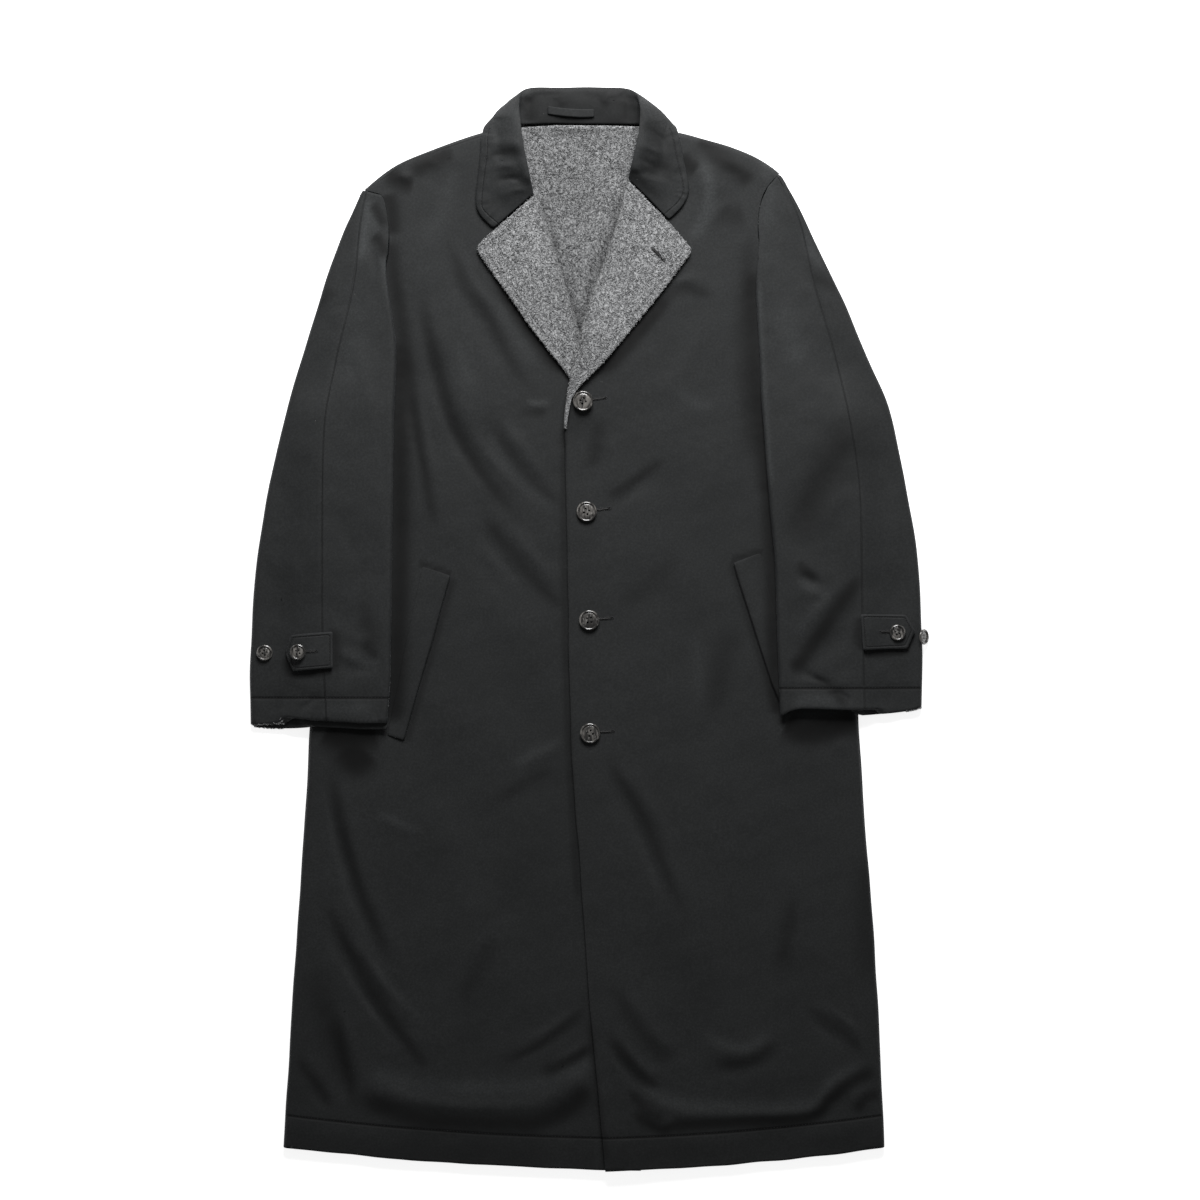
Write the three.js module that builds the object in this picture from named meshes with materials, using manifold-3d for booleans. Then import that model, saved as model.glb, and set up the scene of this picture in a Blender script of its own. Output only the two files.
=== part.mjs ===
// A long single-breasted reversible coat, laid flat on its back with the front up.
// Black gabardine is outside, grey wool is inside and shows on the turned lapels and in the neck.
// Millimetres. X runs across the coat, +Y to the collar, +Z up from the surface that it lies on.
// "Right" and "left" are the wearer's: the right front is at -X and the left front laps over it.

import * as THREE from "three";
import Module from "manifold-3d";
import { mergeVertices } from "three/addons/utils/BufferGeometryUtils.js";

const wasm = await Module();
wasm.setup();

// Driving dimensions
const CLOTH = 3; // gabardine bonded to wool
const WOOL = 2; // the wool side alone, in the neck
const WELT = 2.4; // pocket welts and the hanger loop
const STRAP = 3.4; // doubled cloth of the cuff straps
const SEAM = 0.3; // between pieces that are sewn edge to edge
const LAY = 0.6; // between cloths that lie on each other
const LAP = 1.2; // between the two fronts
const HALF = CLOTH / 2;
const BACK_MID = HALF; // heights are those of the middle of a cloth
const FRONT_MID = 8.2;
const SIDE_FOLD = 5; // radius of the side and shoulder folds
const ROLL = 4; // radius of the lapel roll
const LAPEL_LIFT = 5.8; // between the middles of a front and the lapel on it
const HEM_BAND = 38; // depth of the stitched hem
const CUFF_BAND = 29;
const BAND_GROOVE = { depth: 0.9, width: 3 }; // the stitching draws the cloth in
const SLEEVE_PAIR = 5; // between the middles of a sleeve's two layers on the body
const SLEEVE_DRAPE = 45; // width in which a sleeve falls from the body to the surface
const SLEEVE_LIFT = 45; // height above the pit in which the under layer comes down
const SLEEVE_TURN = 36; // height below the pit in which the under layer's edge comes down
const SEAM_INSET = 4; // least width of the back piece of a sleeve on its upper layer
const CUFF_SHOW = { depth: 7, width: 60 }; // the right sleeve's under layer shows below the upper one
const NECK = { x: -8, lift: 3.4, low: 490, high: 540, inner: 118, outer: 180 }; // lifted by the collar
const LAPPED = { full: 4, none: 46, low: 320, high: 430, shown: 30 }; // where the fronts lap
const LAPEL_END = { x: -8, y: 312, full: 38, none: 100 }; // the right lapel under the left front
const LAPEL_TOP = 283; // height above which the right front's edge is its roll
const LAPEL_SOFT = 16; // width over which a lapel's roll lies down
const FOLD_FADE = 0.3; // share of a fold's length over which it dies away
const PIT = 248; // height on the body where the side seam meets the sleeve
const CHEST = 200; // height above which the fronts' rows slope to the shoulders
const HEM_REACH = 220; // height over which the curve of the hem is felt
const CROWN_REACH = 250; // depth over which the curve of the shoulders is felt
const NECK_WOOL = { low: 250, high: 567, right: -100, left: 84, narrow: 22, from: 520, to: 570, gap: 0.7 };
const FRONT_BUTTON = { radius: 11.5, height: 3.6, rim: 2.4, hole: 1.1, spread: 2.3, sides: 16 };
const CUFF_BUTTON = { radius: 9, height: 3.2, rim: 2, hole: 0.9, spread: 1.9, sides: 16 };
const BUTTON_TURN = { foot: 1, belly: 1.4, lip: 0.6, slope: 1.2, dish: 1.2, middle: 0.3 };
const SHANK_RADIUS = 3.4; // thread wound under a button
const TOP_BUTTON_SUNK = 0.3; // the top button's shank follows the cloth, which falls away under it

// Edges of the body at each height: where it folds at the side seams, then the armholes.
const FRONT_SIDES = [
  { y: -590, right: -344, left: 336 },
  { y: -396, right: -332, left: 327 },
  { y: -114, right: -313, left: 306 },
  { y: 248, right: -300, left: 292 },
  { y: 265, right: -282, left: 273 },
  { y: 300, right: -256, left: 246 },
  { y: 350, right: -238, left: 222 },
  { y: 400, right: -232, left: 206 },
  { y: 425, right: -224.4, left: 196 },
  { y: 445, right: -224.6, left: 193 },
  { y: 478, right: -229, left: 194 },
  { y: 491, right: -233, left: 198 },
  { y: 497, right: -252, left: 201 },
  { y: 515, right: -253, left: 217 },
];
const BACK_SIDES = [
  { y: -590, right: -344, left: 336 },
  { y: -396, right: -332, left: 327 },
  { y: -114, right: -313, left: 306 },
  { y: 248, right: -300, left: 292 },
  { y: 265, right: -287, left: 279 },
  { y: 285, right: -273, left: 264 },
  { y: 340, right: -252, left: 238 },
  { y: 430, right: -243, left: 214 },
  { y: 497, right: -252, left: 208 },
  { y: 515, right: -253, left: 217 },
];
// Inner edges of the fronts: the front edge, the roll line above it, then the neck seam.
const INNER_EDGES = [
  { y: -616, right: 61, left: 20 },
  { y: -504, right: 56, left: 10 },
  { y: -387, right: 46, left: -1 },
  { y: -293, right: 40, left: -6 },
  { y: -124, right: 27, left: -19 },
  { y: 59, right: 22, left: -22 },
  { y: 230, right: 15, left: -25 },
  { y: 283, right: 4, left: -18 },
  { y: 337, right: -11, left: -7 },
  { y: 395, right: -29, left: 13 },
  { y: 447, right: -44, left: 31 },
  { y: 491, right: -60, left: 43 },
  { y: 507, right: -70, left: 47 },
  { y: 530, right: -82, left: 63 },
  { y: 562, right: -90, left: 76 },
];
const ROLLS = {
  right: { low: 312, high: 491, puff: 3.4, from: 330, to: 390 },
  left: { low: 218, high: 507, puff: 3.4, from: 262, to: 330 },
};
const SHOULDERS = [
  { x: -252, y: 497 },
  { x: -219, y: 524 },
  { x: -161, y: 547 },
  { x: -116, y: 562 },
  { x: -90, y: 567 },
  { x: -74, y: 570.5 },
  { x: 58, y: 570.5 },
  { x: 76, y: 566 },
  { x: 98, y: 562 },
  { x: 159, y: 546 },
  { x: 199, y: 530 },
  { x: 217, y: 515 },
];
const SHOULDER_TIP = { right: { x: -252, y: 497 }, left: { x: 217, y: 515 } };
const NECK_POINT = { right: { x: -90, y: 567 }, left: { x: 76, y: 566 } };
const HEM = { right: [-344, -590], middle: [16, -616], left: [336, -590], sag: 5, backSag: 24 };

// Largest folds, each along a path, with the half width and the height of its section.
// A negative height is a trough.
const FOLDS = {
  right: [
    { width: 16, height: -1.6, path: [[-200, 400], [-190, 330], [-163, 235], [-125, 165], [-88, 118]] },
    { width: 18, height: 3.6, path: [[-178, 400], [-168, 330], [-138, 240], [-102, 188], [-30, 120]] },
    { width: 15, height: 3, path: [[-116, 150], [-78, 100], [-48, 66], [-20, 42]] },
    { width: 18, height: 3.4, path: [[-276, -150], [-252, -250], [-226, -325], [-190, -395]] },
    { width: 16, height: -1.6, path: [[-302, -170], [-286, -250], [-264, -315], [-230, -390]] },
    { width: 17, height: 3, path: [[-292, -290], [-262, -352], [-226, -408], [-176, -462]] },
    { width: 16, height: 4.2, path: [[-268, -508], [-205, -536], [-130, -544], [-60, -541], [6, -504]] },
    { width: 16, height: 2.4, path: [[-24, -128], [-80, -160], [-120, -190], [-180, -230], [-240, -212]] },
  ],
  left: [
    { width: 16, height: 3, path: [[80, 208], [46, 182], [8, 166]] },
    { width: 16, height: -1.6, path: [[4, -150], [42, -212], [66, -275], [94, -335]] },
    { width: 18, height: 3.4, path: [[32, -124], [74, -196], [102, -262], [126, -322], [140, -356]] },
    { width: 15, height: 4.2, path: [[40, -500], [92, -548], [150, -553], [250, -549], [326, -496]] },
    { width: 17, height: 2.8, path: [[116, -446], [150, -482], [188, -484], [230, -450]] },
    { width: 15, height: 2.4, path: [[252, -416], [290, -443], [324, -476]] },
    { width: 16, height: 2.8, path: [[130, 540], [141, 500], [136, 455]] },
  ],
};
const SLEEVE_FOLDS = {
  right: [{ width: 11, height: 2, path: [[-290, -22], [-262, -30], [-236, -33]] }],
  left: [
    { width: 12, height: 2.6, path: [[300, 66], [276, 38], [250, 8], [224, -22]] },
    { width: 11, height: -1.2, path: [[320, 44], [298, 14], [276, -18], [240, -50]] },
  ],
};

// Sleeves, a row for each section from the armhole to the cuff: the outer and inner edges of the
// upper layer, the heights over the body and at the inner edge, and how far down the body the
// under layer ends. Below the pit both layers end together.
const SLEEVES = {
  right: [
    { outer: [-255.5, 495.6], inner: [-235.6, 491], over: 8.2, edge: 8.2, under: 490 },
    { outer: [-258.5, 488], inner: [-230.4, 478], over: 8.2, edge: 8.2, under: 480 },
    { outer: [-263, 478], inner: [-227.8, 462], over: 8.2, edge: 8.2, under: 468 },
    { outer: [-268.5, 466], inner: [-226.2, 447], over: 8.6, edge: 8.6, under: 452 },
    { outer: [-276, 449], inner: [-227.8, 427], over: 11, edge: 11, under: 434 },
    { outer: [-284, 427], inner: [-230, 402], over: 12.8, edge: 12, under: 408 },
    { outer: [-296, 396], inner: [-225, 367], over: 13.4, edge: 12, under: 372 },
    { outer: [-311, 345], inner: [-218, 320], over: 14, edge: 12, under: 325 },
    { outer: [-328, 290], inner: [-219, 280], over: 16, edge: 12.6, under: 282 },
    { outer: [-339, 252], inner: [-220, 247], over: 18.6, edge: 15, under: 249 },
    { outer: [-348, 216], inner: [-221, 212], over: 19.6, edge: 17.2, under: 212 },
    { outer: [-364, 146], inner: [-222, 143], over: 19.6, edge: 17.2, under: 143 },
    { outer: [-377, 60], inner: [-223, 58], over: 19.6, edge: 17.2, under: 58 },
    { outer: [-382, -43], inner: [-224, -43], over: 19.6, edge: 17.2, under: -43 },
    { outer: [-381, -109], inner: [-228, -106], over: 19.6, edge: 17.2, under: -106 },
  ],
  left: [
    { outer: [219.5, 512], inner: [204.6, 501], over: 8.2, edge: 8.2, under: 505 },
    { outer: [223, 506], inner: [197.8, 486], over: 8.2, edge: 8.2, under: 494 },
    { outer: [228, 498], inner: [195.4, 470], over: 8.2, edge: 8.2, under: 482 },
    { outer: [236, 483], inner: [194.8, 452], over: 8.8, edge: 8.8, under: 464 },
    { outer: [246, 464], inner: [196.8, 434], over: 11.4, edge: 11.4, under: 446 },
    { outer: [258, 437], inner: [191.6, 410], over: 12.8, edge: 12, under: 420 },
    { outer: [271, 410], inner: [192.5, 380], over: 13.4, edge: 12, under: 388 },
    { outer: [292, 367], inner: [194.5, 345], over: 13.6, edge: 12, under: 345 },
    { outer: [311, 318], inner: [197, 300], over: 14.6, edge: 12.2, under: 300 },
    { outer: [337, 262], inner: [199, 250], over: 18.2, edge: 14.6, under: 250 },
    { outer: [350, 216], inner: [202, 208], over: 19.6, edge: 17.2, under: 208 },
    { outer: [363, 146], inner: [208, 140], over: 19.6, edge: 17.2, under: 140 },
    { outer: [375, 80], inner: [214, 78], over: 19.6, edge: 17.2, under: 78 },
    { outer: [379, -20], inner: [217, -24], over: 19.6, edge: 17.2, under: -24 },
    { outer: [378, -94], inner: [220, -99], over: 19.6, edge: 17.2, under: -99 },
  ],
};
// The seam down the middle of a sleeve's upper layer, from the cuff to the crown.
const SLEEVE_SEAMS = [
  { y: -110, right: -295, left: 314 },
  { y: 20, right: -300, left: 311 },
  { y: 145, right: -300, left: 309 },
  { y: 224, right: -298, left: 299 },
  { y: 300, right: -286, left: 283 },
  { y: 398, right: -264, left: 255 },
  { y: 457, right: -258, left: 242 },
  { y: 500, right: -250, left: 226 },
];

// Lapels, a row for each section from the gorge down: on the roll line and on the outer edge.
const LAPELS = {
  right: [
    { roll: [-60.2, 490.2], edge: [-124, 435] },
    { roll: [-56, 479], edge: [-125, 427] },
    { roll: [-50, 463], edge: [-109, 404] },
    { roll: [-42, 440], edge: [-86, 372] },
    { roll: [-29, 395], edge: [-60, 335] },
    { roll: [-11, 337], edge: [-31, 298] },
    { roll: [-4, 314], edge: [-16, 279] },
  ],
  left: [
    { roll: [46.8, 506.2], edge: [117, 432] },
    { roll: [44, 494], edge: [116, 423] },
    { roll: [38, 470], edge: [97, 398] },
    { roll: [29, 441], edge: [76, 370] },
    { roll: [13, 395], edge: [51, 340] },
    { roll: [-7, 337], edge: [21, 303] },
    { roll: [-18, 283], edge: [-8.5, 274.5] },
    { roll: [-21.4, 262], edge: [-17.4, 261] },
    { roll: [-23.2, 250], edge: [-19.8, 249.6] },
    { roll: [-24.4, 237], edge: [-22.2, 237] },
    { roll: [-25, 225], edge: [-24, 225] },
  ],
};

// Collar, a row for each section from the right front round the neck to the left front:
// the neck seam, the middle of the stand, the roll, the middle of the fall and its edge.
const COLLAR = [
  { neck: [-63.6, 493.2, 14], stand: [-63, 493, 16],
    roll: [-61.8, 492, 18], fall: [-84, 472.6, 15.4], edge: [-106.6, 453.4, 13] },
  { neck: [-67, 501, 14.2], stand: [-65, 500, 18],
    roll: [-63, 499, 22], fall: [-93, 482, 17], edge: [-121, 466.5, 13] },
  { neck: [-73, 509, 14.4], stand: [-69, 508, 21],
    roll: [-65, 508, 27], fall: [-98, 494, 19], edge: [-127, 479, 13] },
  { neck: [-85, 528, 15], stand: [-77, 529, 24],
    roll: [-68, 530, 31], fall: [-99, 520, 21], edge: [-125, 507, 13.6] },
  { neck: [-90, 543, 16], stand: [-83, 546, 24],
    roll: [-72, 552, 32], fall: [-99, 546, 22], edge: [-121, 536, 15.6] },
  { neck: [-91, 556, 16.4], stand: [-86, 563, 22],
    roll: [-75, 573, 29], fall: [-102, 571, 20], edge: [-120, 560, 16] },
  { neck: [-90, 569.4, 13], stand: [-86, 577, 16],
    roll: [-77, 590, 23], fall: [-104, 584, 14], edge: [-115, 570.5, 7] },
  { neck: [-80, 571.6, 8.4], stand: [-79, 590, 11],
    roll: [-77, 605, 13], fall: [-92, 595, 4], edge: [-100, 573, 1.6] },
  { neck: [-66, 572.4, 6.4], stand: [-66, 601, 7.6],
    roll: [-68, 612.4, 5], fall: [-72, 601, 1.6], edge: [-78, 556, 1.5] },
  { neck: [-42, 572.4, 5.6], stand: [-42, 603, 7.3],
    roll: [-44, 613.2, 4.4], fall: [-46, 603, 1.5], edge: [-50, 553, 1.5] },
  { neck: [-9, 572.4, 5.4], stand: [-9, 603, 7.2],
    roll: [-14, 613, 4.4], fall: [-12, 603, 1.5], edge: [-14, 551, 1.5] },
  { neck: [24, 572.4, 5.6], stand: [24, 603, 7.3],
    roll: [18, 613.2, 4.4], fall: [24, 603, 1.5], edge: [28, 553, 1.5] },
  { neck: [50, 572.4, 6.4], stand: [49, 601, 7.6],
    roll: [44, 612.4, 5], fall: [52, 601, 1.6], edge: [60, 556, 1.5] },
  { neck: [64, 571.6, 8.4], stand: [62, 590, 11],
    roll: [56, 605, 13], fall: [72, 595, 4], edge: [84, 573, 1.6] },
  { neck: [74, 569, 13], stand: [70, 577, 16],
    roll: [59, 590, 23], fall: [84, 584, 14], edge: [97, 570.5, 7] },
  { neck: [77, 556, 16.4], stand: [71, 563, 22],
    roll: [59, 571, 29], fall: [86, 571, 20], edge: [103, 560, 16] },
  { neck: [75, 545, 16], stand: [68, 548, 24],
    roll: [56, 552, 32], fall: [84, 547, 22], edge: [107, 540, 15.4] },
  { neck: [67, 531, 15], stand: [60, 532, 24],
    roll: [52, 534, 31], fall: [85, 526, 21], edge: [113, 514, 13.4] },
  { neck: [57, 519, 14.4], stand: [53, 519, 21],
    roll: [49, 520, 27], fall: [84, 508, 19], edge: [116, 494, 13] },
  { neck: [52.5, 513.5, 14.2], stand: [50, 513, 18],
    roll: [48, 513, 22], fall: [80, 496, 17], edge: [108, 478, 13] },
  { neck: [50, 509.6, 14], stand: [49, 509, 16],
    roll: [47.4, 508.4, 18], fall: [70, 485.6, 15.4], edge: [91.6, 463, 13] },
];

const WELTS = {
  right: { top: [[-188, 70], [-155, 59]], foot: [[-227, -121], [-208, -127]] },
  left: { top: [[165, 74], [196, 85]], foot: [[223.6, -110.3], [243, -104]] },
};
const STRAPS = {
  right: { upper: [[-288, -4], [-336, -8]], lower: [[-288, -45], [-333, -49]], point: [-343, -29] },
  left: { upper: [[309, 16], [361, 15]], lower: [[312, -25], [362, -23]], point: [371, -3] },
};
// One cuff button of the left sleeve is tilted, where its cloth turns under.
const EDGE_BUTTON = { x: 380.3, y: -10, z: 7.9, tilt: 52, shank: 0.5 };
const LOOP = { from: [-45, 585.5], to: [8, 582.5], width: 9, bow: 1.6, rise: 2, stand: [0.35, 0.65] };
const FRONT_BUTTONS = [[-5, 257], [-1, 132], [2, 9], [3, -119]];
const CUFF_BUTTONS = {
  right: [[-327, -27], [-366, -28]],
  left: [[351, -5]],
};

// Colours of the two sides of the cloth and of the horn buttons
const GABARDINE = { color: 0x17181a, roughness: 0.85, metalness: 0 };
const WOOL_GREY = { color: 0x63666a, roughness: 0.95, metalness: 0 };
const HORN = { color: 0x1b1a18, roughness: 0.3, metalness: 0 };

const coat = new THREE.Group();

const clamp01 = (t) => Math.min(1, Math.max(0, t));
const mix = (a, b, t) => a + (b - a) * t;
const between = (a, b, t) => a.map((v, k) => mix(v, b[k], t));
const ramp = (low, high, x) => {
  const t = clamp01((x - low) / (high - low));
  return t * t * (3 - 2 * t);
};
// A quarter-ellipse from 0 at an edge to 1 at the radius
const turned = (distance, radius) => Math.sqrt(1 - (1 - clamp01(distance / radius)) ** 2);

// A curve through points [u, v] in order of u, with no overshoot between them and level past them.
function curveThrough(points) {
  const last = points.length - 1;
  const steps = points.slice(1).map(([u, v], i) => (v - points[i][1]) / (u - points[i][0]));
  const slopes = points.map((_, i) => {
    if (i === 0 || i === last) return steps[Math.max(0, i - 1)];
    const [a, b] = [steps[i - 1], steps[i]];
    return a * b <= 0 ? 0 : (2 * a * b) / (a + b);
  });
  return (u) => {
    if (u <= points[0][0]) return points[0][1];
    if (u >= points[last][0]) return points[last][1];
    const i = points.findIndex(([known]) => known > u) - 1;
    const h = points[i + 1][0] - points[i][0];
    const t = (u - points[i][0]) / h;
    const s = 1 - t;
    const ends = points[i][1] * (1 + 2 * t) * s * s + points[i + 1][1] * t * t * (3 - 2 * t);
    return ends + h * t * s * (slopes[i] * s - slopes[i + 1] * t);
  };
}

const edgeOf = (rows, key) => curveThrough(rows.map((r) => [r.y, r[key]]));
const frontSide = { right: edgeOf(FRONT_SIDES, "right"), left: edgeOf(FRONT_SIDES, "left") };
const backSide = { right: edgeOf(BACK_SIDES, "right"), left: edgeOf(BACK_SIDES, "left") };
const innerEdge = { right: edgeOf(INNER_EDGES, "right"), left: edgeOf(INNER_EDGES, "left") };
const sleeveSeam = { right: edgeOf(SLEEVE_SEAMS, "right"), left: edgeOf(SLEEVE_SEAMS, "left") };
const shoulderLine = curveThrough(SHOULDERS.map((p) => [p.x, p.y]));
const outward = { right: -1, left: 1 };

// Distances along a length: given ones at both ends and even steps between them.
function stations(length, near, steps, far) {
  const from = near[near.length - 1];
  const to = length - far[0];
  const middle = Array.from({ length: steps - 1 }, (_, k) => mix(from, to, (k + 1) / steps));
  return [...near, ...middle, ...far.map((d) => length - d)];
}

function distanceToPath(x, y, path) {
  let best = { distance: Infinity, along: 0 };
  for (let i = 0; i + 1 < path.length; i++) {
    const [ax, ay] = path[i];
    const [dx, dy] = [path[i + 1][0] - ax, path[i + 1][1] - ay];
    const t = clamp01(((x - ax) * dx + (y - ay) * dy) / (dx * dx + dy * dy));
    const distance = Math.hypot(x - ax - t * dx, y - ay - t * dy);
    if (distance < best.distance) best = { distance, along: (i + t) / (path.length - 1) };
  }
  return best;
}

// Height that a list of folds adds at a point; each fold dies away at its ends.
function foldHeight(folds, x, y) {
  let height = 0;
  for (const fold of folds) {
    const { distance, along } = distanceToPath(x, y, fold.path);
    const fade = ramp(0, FOLD_FADE, Math.min(along, 1 - along));
    height += fold.height * fade * Math.exp(-((distance / fold.width) ** 2));
  }
  return height;
}

// Distance from a curve given as a function, measured square to it.
function distanceAcross(curve, u, v) {
  const slope = (curve(u + 2) - curve(u - 2)) / 4;
  return Math.abs(v - curve(u)) / Math.hypot(1, slope);
}

// Distance inwards from the side fold and the shoulder fold of the body.
function foldDistance(side, x, y) {
  const neck = NECK_POINT[side].x;
  const beyondNeck = Math.max(0, side === "right" ? x - neck : neck - x);
  const shoulder = Math.hypot(distanceAcross(shoulderLine, x, y), beyondNeck);
  const flank = Math.hypot(distanceAcross(frontSide[side], Math.min(y, PIT), x), Math.max(0, y - PIT));
  return Math.min(flank, shoulder);
}

const neckLift = (x, y) =>
  NECK.lift * ramp(NECK.low, NECK.high, y) * (1 - ramp(NECK.inner, NECK.outer, Math.abs(x - NECK.x)));
// The height at which front and back meet in a fold
const foldSeam = (x, y) => (BACK_MID + FRONT_MID) / 2 + neckLift(x, y);

function backHeight(x, y) {
  const flat = BACK_MID + neckLift(x, y);
  const side = x < 0 ? "right" : "left";
  return mix(foldSeam(x, y) - SEAM, flat, turned(foldDistance(side, x, y), SIDE_FOLD));
}

// The middle of the right front, before its edges turn.
function rightLay(x, y) {
  const shown = y > PIT ? 1 : 1 - ramp(0, LAPPED.shown, x - innerEdge.left(y));
  return FRONT_MID + neckLift(x, y) + foldHeight(FOLDS.right, x, y) * shown;
}

// The middle of the left front, which laps over the right one and over the end of its lapel.
function leftLay(x, y) {
  const fold = foldHeight(FOLDS.left, x, y);
  const own = FRONT_MID + neckLift(x, y) + fold;
  const past = x - innerEdge.right(Math.min(y, LAPEL_TOP));
  const lap = (1 - ramp(LAPPED.full, LAPPED.none, past)) * (1 - ramp(LAPPED.low, LAPPED.high, y));
  const fromEnd = Math.hypot(x - LAPEL_END.x, y - LAPEL_END.y);
  const lapelEnd = 1 - ramp(LAPEL_END.full, LAPEL_END.none, fromEnd);
  const under = rightLay(x, y) + CLOTH + LAP + lapelEnd * LAPEL_LIFT + Math.max(0, fold);
  return own + lap * Math.max(0, under - own);
}

const lay = { right: rightLay, left: leftLay };

function hemLine(x) {
  const end = x < HEM.middle[0] ? HEM.right : HEM.left;
  const t = clamp01((x - HEM.middle[0]) / (end[0] - HEM.middle[0]));
  return mix(HEM.middle[1], end[1], t) - HEM.sag * 4 * t * (1 - t);
}
// The stitched line of a hem or cuff draws the cloth in.
const groove = (distance, depth) =>
  BAND_GROOVE.depth * Math.exp(-(((distance - depth) / BAND_GROOVE.width) ** 2));

// Height of a lapel over its front at a distance from the roll line.
function lapelRise(side, y, distance) {
  const { puff, from, to } = ROLLS[side];
  return LAPEL_LIFT + puff * ramp(from, to, y) * Math.exp(-distance / LAPEL_SOFT);
}

function frontHeight(side, x, y) {
  const { low, high } = ROLLS[side];
  const rolled = ramp(low - 30, low - 2, y) * (1 - ramp(high - 8, high + 8, y));
  const distance = distanceAcross(innerEdge[side], y, x);
  const flat = lay[side](x, y) - groove(y - hemLine(x), HEM_BAND);
  const seam = flat + lapelRise(side, y, 0) / 2 - SEAM;
  const upper = mix(flat, mix(seam, flat, turned(distance, ROLL)), rolled);
  return mix(foldSeam(x, y) + SEAM, upper, turned(foldDistance(side, x, y), SIDE_FOLD));
}

function lapelHeight(side, x, y) {
  const distance = distanceAcross(innerEdge[side], y, x);
  const flat = lay[side](x, y);
  const seam = flat + lapelRise(side, y, 0) / 2 + SEAM;
  return mix(seam, flat + lapelRise(side, y, distance), turned(distance, ROLL));
}

// A closed wall of even thickness around a grid of middle points, with edges cut square. Along
// the borders named in folded the end faces lie level, as two cloths meet in the middle of a fold.
function wall(grid, thickness, folded = []) {
  const rows = grid.length;
  const cols = grid[0].length;
  const at = (i, j) => grid[Math.min(rows - 1, Math.max(0, i))][Math.min(cols - 1, Math.max(0, j))];
  const border = (i, j) => i === 0 || j === 0 || i === rows - 1 || j === cols - 1;
  const atFold = (i, j) =>
    (folded.includes("start") && j === 0) ||
    (folded.includes("end") && j === cols - 1) ||
    (folded.includes("top") && i === rows - 1);
  const positions = [];
  for (const side of [0.5, -0.5]) {
    for (let i = 0; i < rows; i++) {
      for (let j = 0; j < cols; j++) {
        const across = at(i, j + 1).clone().sub(at(i, j - 1));
        const normal = across.cross(at(i + 1, j).clone().sub(at(i - 1, j))).normalize();
        if (border(i, j) && Math.abs(normal.z) > 0.8) normal.set(0, 0, Math.sign(normal.z));
        else if (atFold(i, j)) normal.setZ(0).normalize();
        positions.push(...at(i, j).clone().addScaledVector(normal, side * thickness).toArray());
      }
    }
  }
  const face = [];
  const quad = (a, b, c, d) => face.push(a, b, c, a, c, d);
  const outer = (i, j) => i * cols + j;
  const inner = (i, j) => rows * cols + outer(i, j);
  const [lastRow, lastCol] = [rows - 1, cols - 1];
  for (let i = 0; i < lastRow; i++) {
    for (let j = 0; j < lastCol; j++) {
      quad(outer(i, j), outer(i, j + 1), outer(i + 1, j + 1), outer(i + 1, j));
      quad(inner(i, j), inner(i + 1, j), inner(i + 1, j + 1), inner(i, j + 1));
    }
    quad(outer(i, 0), outer(i + 1, 0), inner(i + 1, 0), inner(i, 0));
    quad(outer(i, lastCol), inner(i, lastCol), inner(i + 1, lastCol), outer(i + 1, lastCol));
  }
  for (let j = 0; j < lastCol; j++) {
    quad(outer(0, j), inner(0, j), inner(0, j + 1), outer(0, j + 1));
    quad(outer(lastRow, j), outer(lastRow, j + 1), inner(lastRow, j + 1), inner(lastRow, j));
  }
  return facingOut(positions, face);
}

// A geometry from a closed set of faces, turned round if they face inwards.
function facingOut(positions, face) {
  const point = (k) => new THREE.Vector3().fromArray(positions, 3 * face[k]);
  let volume = 0;
  for (let k = 0; k < face.length; k += 3) volume += point(k).dot(point(k + 1).cross(point(k + 2)));
  const geometry = new THREE.BufferGeometry();
  geometry.setAttribute("position", new THREE.Float32BufferAttribute(positions, 3));
  geometry.setIndex(volume < 0 ? face.toReversed() : face);
  geometry.computeVertexNormals();
  return geometry;
}

function addPiece(name, geometry, finish) {
  const mesh = new THREE.Mesh(geometry, new THREE.MeshStandardMaterial(finish));
  mesh.name = name;
  coat.add(mesh);
}

// Rows of points from each start to each end, at the distances that columnsOf gives.
function ruled(starts, ends, columnsOf, heightAt) {
  return starts.map(([ax, ay], i) => {
    const width = Math.hypot(ends[i][0] - ax, ends[i][1] - ay);
    return columnsOf(width).map((d) => {
      const [x, y] = [mix(ax, ends[i][0], d / width), mix(ay, ends[i][1], d / width)];
      return new THREE.Vector3(x, y, heightAt(x, y));
    });
  });
}

// Bends straight rows to the curve of the hem and of the shoulders, then sets their heights.
function fitBody(grid, hemSag, heightAt) {
  const crown = grid[grid.length - 1].map((p) => p.clone());
  const [a, b] = [crown[0], crown[crown.length - 1]];
  for (const row of grid) {
    const [start, end] = [row[0].clone(), row[row.length - 1]];
    const nearHem = 1 - ramp(0, HEM_REACH, (start.y + end.y) / 2 - HEM.middle[1]);
    const nearCrown = ramp(-CROWN_REACH, 0, start.y - a.y);
    for (const [j, p] of row.entries()) {
      const t = (p.x - start.x) / (end.x - start.x);
      const chord = mix(a.y, b.y, (crown[j].x - a.x) / (b.x - a.x));
      p.y += nearCrown * (shoulderLine(crown[j].x) - chord) - nearHem * hemSag * 4 * t * (1 - t);
    }
  }
  for (const row of grid) for (const p of row) p.z = heightAt(p.x, p.y);
}

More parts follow.
